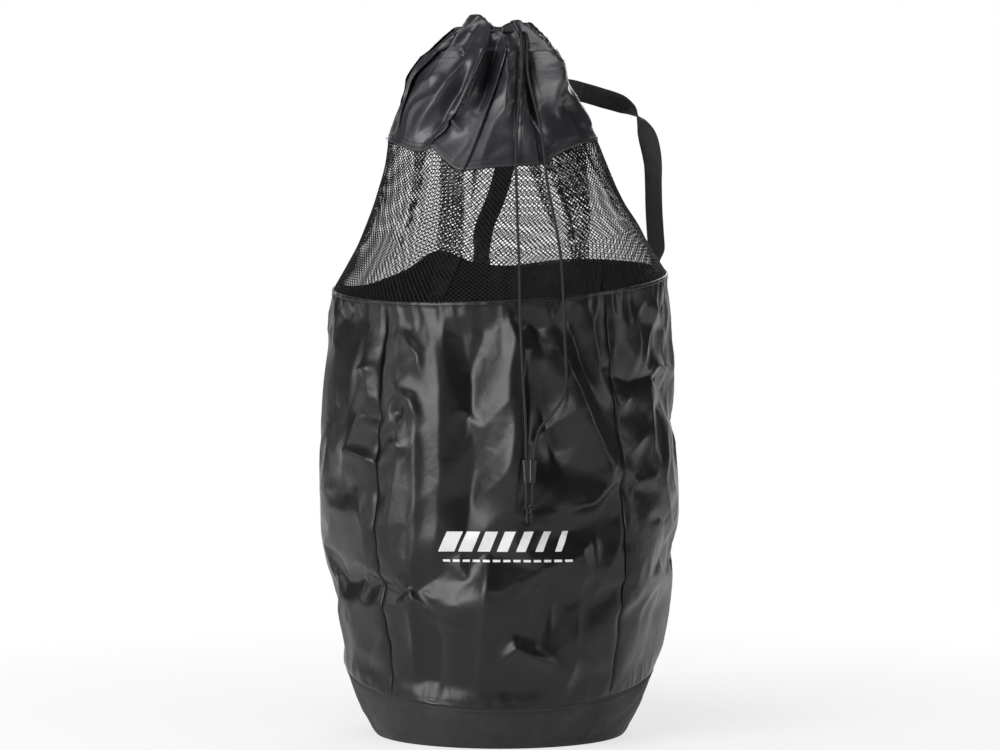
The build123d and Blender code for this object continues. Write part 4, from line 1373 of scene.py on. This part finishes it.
class BALLBAG_OT_collar(bpy.types.Operator):
    """Make the gathered collar, its hem and seam tapes, and the drawcord casing."""

    bl_idname = "ballbag.collar"
    bl_label = "Collar and casing"

    def execute(self, context):
        s = sizes()
        threads = np.linspace(-180, 180, 621)
        levels = np.linspace(1.0, 2.02, 58)
        outer = gather_points(threads, np.linspace(1.98, 3.0, 26))
        inner = gather_points(threads, np.linspace(3.0, 2.02, 26), 0.0055)
        crown = (outer[-1] + inner[0]) / 2
        crown[:, 2] += 0.0022
        shell = np.concatenate([outer, crown[None], inner])
        for name, points, height, node, depth in (
            ("collar_cloth", gather_points(threads, levels), levels * 0.12, "collar", 0.135),
            ("casing_hem", shell, np.linspace(0.24, 0.34, len(shell)), "drawcord_casing", 0.105),
        ):
            cloth = grid_object(name, points, pairs(threads / 360 * s.cloth_round, height[:, None]))
            thicken(cloth, s.cloth_thickness)
            finish_piece(cloth, "collar_nylon", "collar_nylon", node)
        ring = np.linspace(-180, 180, 481)[:-1]
        line = gather_points(ring, np.array([1.015]), pleated=False)[0]
        line -= radial(line) * 0.0010
        hem = ("collar_nylon", "collar_nylon", "collar_hem_binding", True)
        lay_strip("collar_hem_tape", line, radial(line), 0.006, 0.0012, *hem)
        line = gather_points(np.array([-75.5]), np.linspace(1.02, 1.98, 40), 0.0030, pleated=False)[:, 0]
        lay_tape("collar_inner_tape", line, radial(line), "collar_seam_tape")
        return {"FINISHED"}


# ---- shoulder strap ----
def skin_place(lower, upper, angle, share, clearance):
    """A point outside the plain net or collar, as the strap's route is laid out."""
    s = sizes()
    a = radians(angle)
    rings = {
        "rim": (0.0, s.rim_radius, s.rim_radius, s.rim_height, *RIM_SLOPE),
        "collar": (GATHER_X, s.collar_radius_x, s.collar_radius_y, s.collar_height, 0.0, COLLAR_SLOPE),
        "casing": (GATHER_X, s.casing_radius, s.casing_radius, s.casing_height, 0.0, 0.0),
    }
    places = []
    for key in (lower, upper):
        centre, rx, ry, height, slope_x, slope_y = rings[key]
        x, y = (rx + clearance) * cos(a), (ry + clearance) * sin(a)
        places.append(np.array([centre + x, y, height + slope_x * x + slope_y * y]))
    return places[0] * (1 - share) + places[1] * share


def webbing_route():
    """Centres and widthwise directions of the strap, from its tab to its foot."""
    s = sizes()
    right = np.array(STRAP_HINGE["pos_m"])
    outward = np.cross(STRAP_HINGE["axis"], (0, 0, 1.0))
    back = np.array((*BACK_SUPPORT, HINGE_HEIGHT))
    tab_out = np.array((cos(radians(19.0)), sin(radians(19.0)), 0))
    tab_centre = tab_out * (s.rim_radius + 0.0020)
    tab_height = HINGE_HEIGHT - 0.019
    # Each stop is a centre, the way that the webbing faces there and its twist.
    route = [(tab_centre + (0, 0, tab_height + rise), tab_out, 0) for rise in (-0.028, 0.0021)]
    route += [(right + step, outward, twist) for step, twist in STRAP_RISE]
    # Over the collar and down past the net: angle, share of the way up, clearance.
    for place in ((40, 0.66, 0.026), (52, 0.62, 0.020), (66, 0.35, 0.012), (78, 0.06, 0.010)):
        route.append((skin_place("collar", "casing", *place), (0, 1.0, 0), 180))
    for place in ((84, 0.78, 0.008), (89.5, 0.52, 0.007), (95.5, 0.25, 0.007)):
        route.append((skin_place("rim", "collar", *place), (0, 0.81, 0.585), 180))
    route.append((back + (0, 0, 0.002), outward, 180))
    low, high = RUN_ANGLES
    top = HINGE_HEIGHT - 0.030
    foot = band_height_at(radians(low)) + 0.005
    for step in range(10):
        height = top + (foot - top) * step / 9
        angle = radians(high + (low - high) * step / 9)
        off = 0.0030 if step < 9 else 0.0020
        out = np.array((cos(angle), sin(angle), 0))
        route.append((out * (body_radius(height) + off) + (0, 0, height), out, 180))
    centres, faces, twists = (np.array(column, float) for column in zip(*route))
    along = unit(np.gradient(centres, axis=0))
    across = unit(np.cross(along, faces))
    t = np.radians(twists)[:, None]
    return centres, across * np.cos(t) + np.cross(along, across) * np.sin(t)


def through_points(points, steps):
    """A smooth line through the points: a centripetal spline with steps to each run."""
    padded = np.concatenate([[2 * points[0] - points[1]], points, [2 * points[-1] - points[-2]]])
    gaps = np.sqrt(np.linalg.norm(np.diff(padded, axis=0), axis=1)).clip(1e-6)
    a, b, c, d = hermite_weights(np.linspace(0, 1, steps, endpoint=False)[:, None])
    result = []
    for i in range(1, len(padded) - 2):
        p0, p1, p2, p3 = padded[i - 1 : i + 3]
        g0, g1, g2 = gaps[i - 1 : i + 2]
        m1 = g1 * ((p1 - p0) / g0 - (p2 - p0) / (g0 + g1) + (p2 - p1) / g1)
        m2 = g1 * ((p2 - p1) / g1 - (p3 - p1) / (g1 + g2) + (p3 - p2) / g2)
        result.append(a * p1 + b * m1 + c * p2 + d * m2)
    return np.concatenate(result + [points[-1:]])


class BALLBAG_OT_strap(bpy.types.Operator):
    """Make the shoulder strap of flat webbing, from its tab round its loop to the base seam."""

    bl_idname = "ballbag.strap"
    bl_label = "Shoulder strap"

    def execute(self, context):
        s = sizes()
        centres, across = webbing_route()
        line = through_points(centres, STRAP_STEPS)
        width = unit(through_points(across, STRAP_STEPS))
        split = STRAP_MIDDLE * STRAP_STEPS
        for name, part, (x, y), nodes in (
            ("strap_right_half", slice(0, split + 1), RIGHT_SUPPORT, ("strap_upper_tab",)),
            ("strap_back_half", slice(split, len(line)), BACK_SUPPORT, ("strap_loop", "strap_back_run")),
        ):
            along = unit(np.gradient(line[part], axis=0))
            side = square_to(width[part], along)
            outline = flat_outline(s.strap_width, s.strap_thickness)
            piece = swept(name, line[part], side, np.cross(side, along), outline)
            piece.data.materials.append(finish("webbing"))
            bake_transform(piece)
            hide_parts(*nodes)
        return {"FINISHED"}


class BALLBAG_OT_stitching(bpy.types.Operator):
    """Sew the seams, hems and casing with rows of thread."""

    bl_idname = "ballbag.stitching"
    bl_label = "Stitching"

    def execute(self, context):
        s = sizes()
        ring = np.linspace(-pi, pi, 361)
        edge = body_line(ring, np.full(361, 0.988))
        edge[:, 2] = rim_height_at(ring) - 0.0066
        lines = [edge + radial(edge) * 0.0012]
        level = np.linspace(0.02, 0.975, 150)
        for number in range(4):
            for side in (-0.0028, 0.0028):
                edge = body_line(seam_angle(number, level) + side / 0.21, level)
                lines.append(edge + radial(edge) * 0.0002)
        around = np.linspace(-180, 180, 481)
        for level, off in ((1.035, 0.0026), (1.075, 0.0010), (1.93, 0.0018), (2.16, 0.0020)):
            row = gather_points(around, np.array([level]), pleated=False)[0]
            lines.append(row + radial(row) * off)
        lines.append(band_seam_line(ring, 0.0004, -0.0045))
        edges, first = [], 0
        for line in lines:
            edges += [(i, i + 1) for i in range(first, first + len(line) - 1)]
            first += len(line)
        piece = mesh_object("stitching", np.concatenate(lines), [], edges=edges)
        tree, ids = stitches_tree()
        thread = {
            "Stitch pitch": s.stitch_pitch, "Stitch length": s.stitch_length,
            "Thread radius": s.thread_diameter / 2, "Finish": finish("sewing_thread"),
        }
        run_tree(piece, tree, ids, thread)
        finish_piece(piece, "sewing_thread", "binding_tape")
        return {"FINISHED"}


class BALLBAG_PT_sidebar(bpy.types.Panel):
    """Lists the bag's pieces, its sizes and its colours."""

    bl_idname = "BALLBAG_PT_sidebar"
    bl_label = "Ball Bag"
    bl_space_type = "VIEW_3D"
    bl_region_type = "UI"
    bl_category = "Ball Bag"

    def draw(self, context):
        for operator in OPERATORS:
            self.layout.operator(operator.bl_idname)
        for group in (context.scene.bag_sizes, context.scene.bag_colours):
            box = self.layout.box()
            for key in group.__annotations__:
                box.prop(group, key)


OPERATORS = (
    BALLBAG_OT_stage, BALLBAG_OT_drawcord, BALLBAG_OT_base, BALLBAG_OT_panels,
    BALLBAG_OT_net, BALLBAG_OT_collar, BALLBAG_OT_strap, BALLBAG_OT_stitching,
)
CLASSES = (BagSizes, BagColours, *OPERATORS, BALLBAG_PT_sidebar)


def register():
    for cls in CLASSES:
        bpy.utils.register_class(cls)
    bpy.types.Scene.bag_sizes = PointerProperty(type=BagSizes)
    bpy.types.Scene.bag_colours = PointerProperty(type=BagColours)


def unregister():
    del bpy.types.Scene.bag_sizes
    del bpy.types.Scene.bag_colours
    for cls in reversed(CLASSES):
        bpy.utils.unregister_class(cls)


def main():
    """Registers the add-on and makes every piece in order."""
    register()
    for operator in OPERATORS:
        group, name = operator.bl_idname.split(".")
        getattr(getattr(bpy.ops, group), name)()


if __name__ == "__main__":
    main()
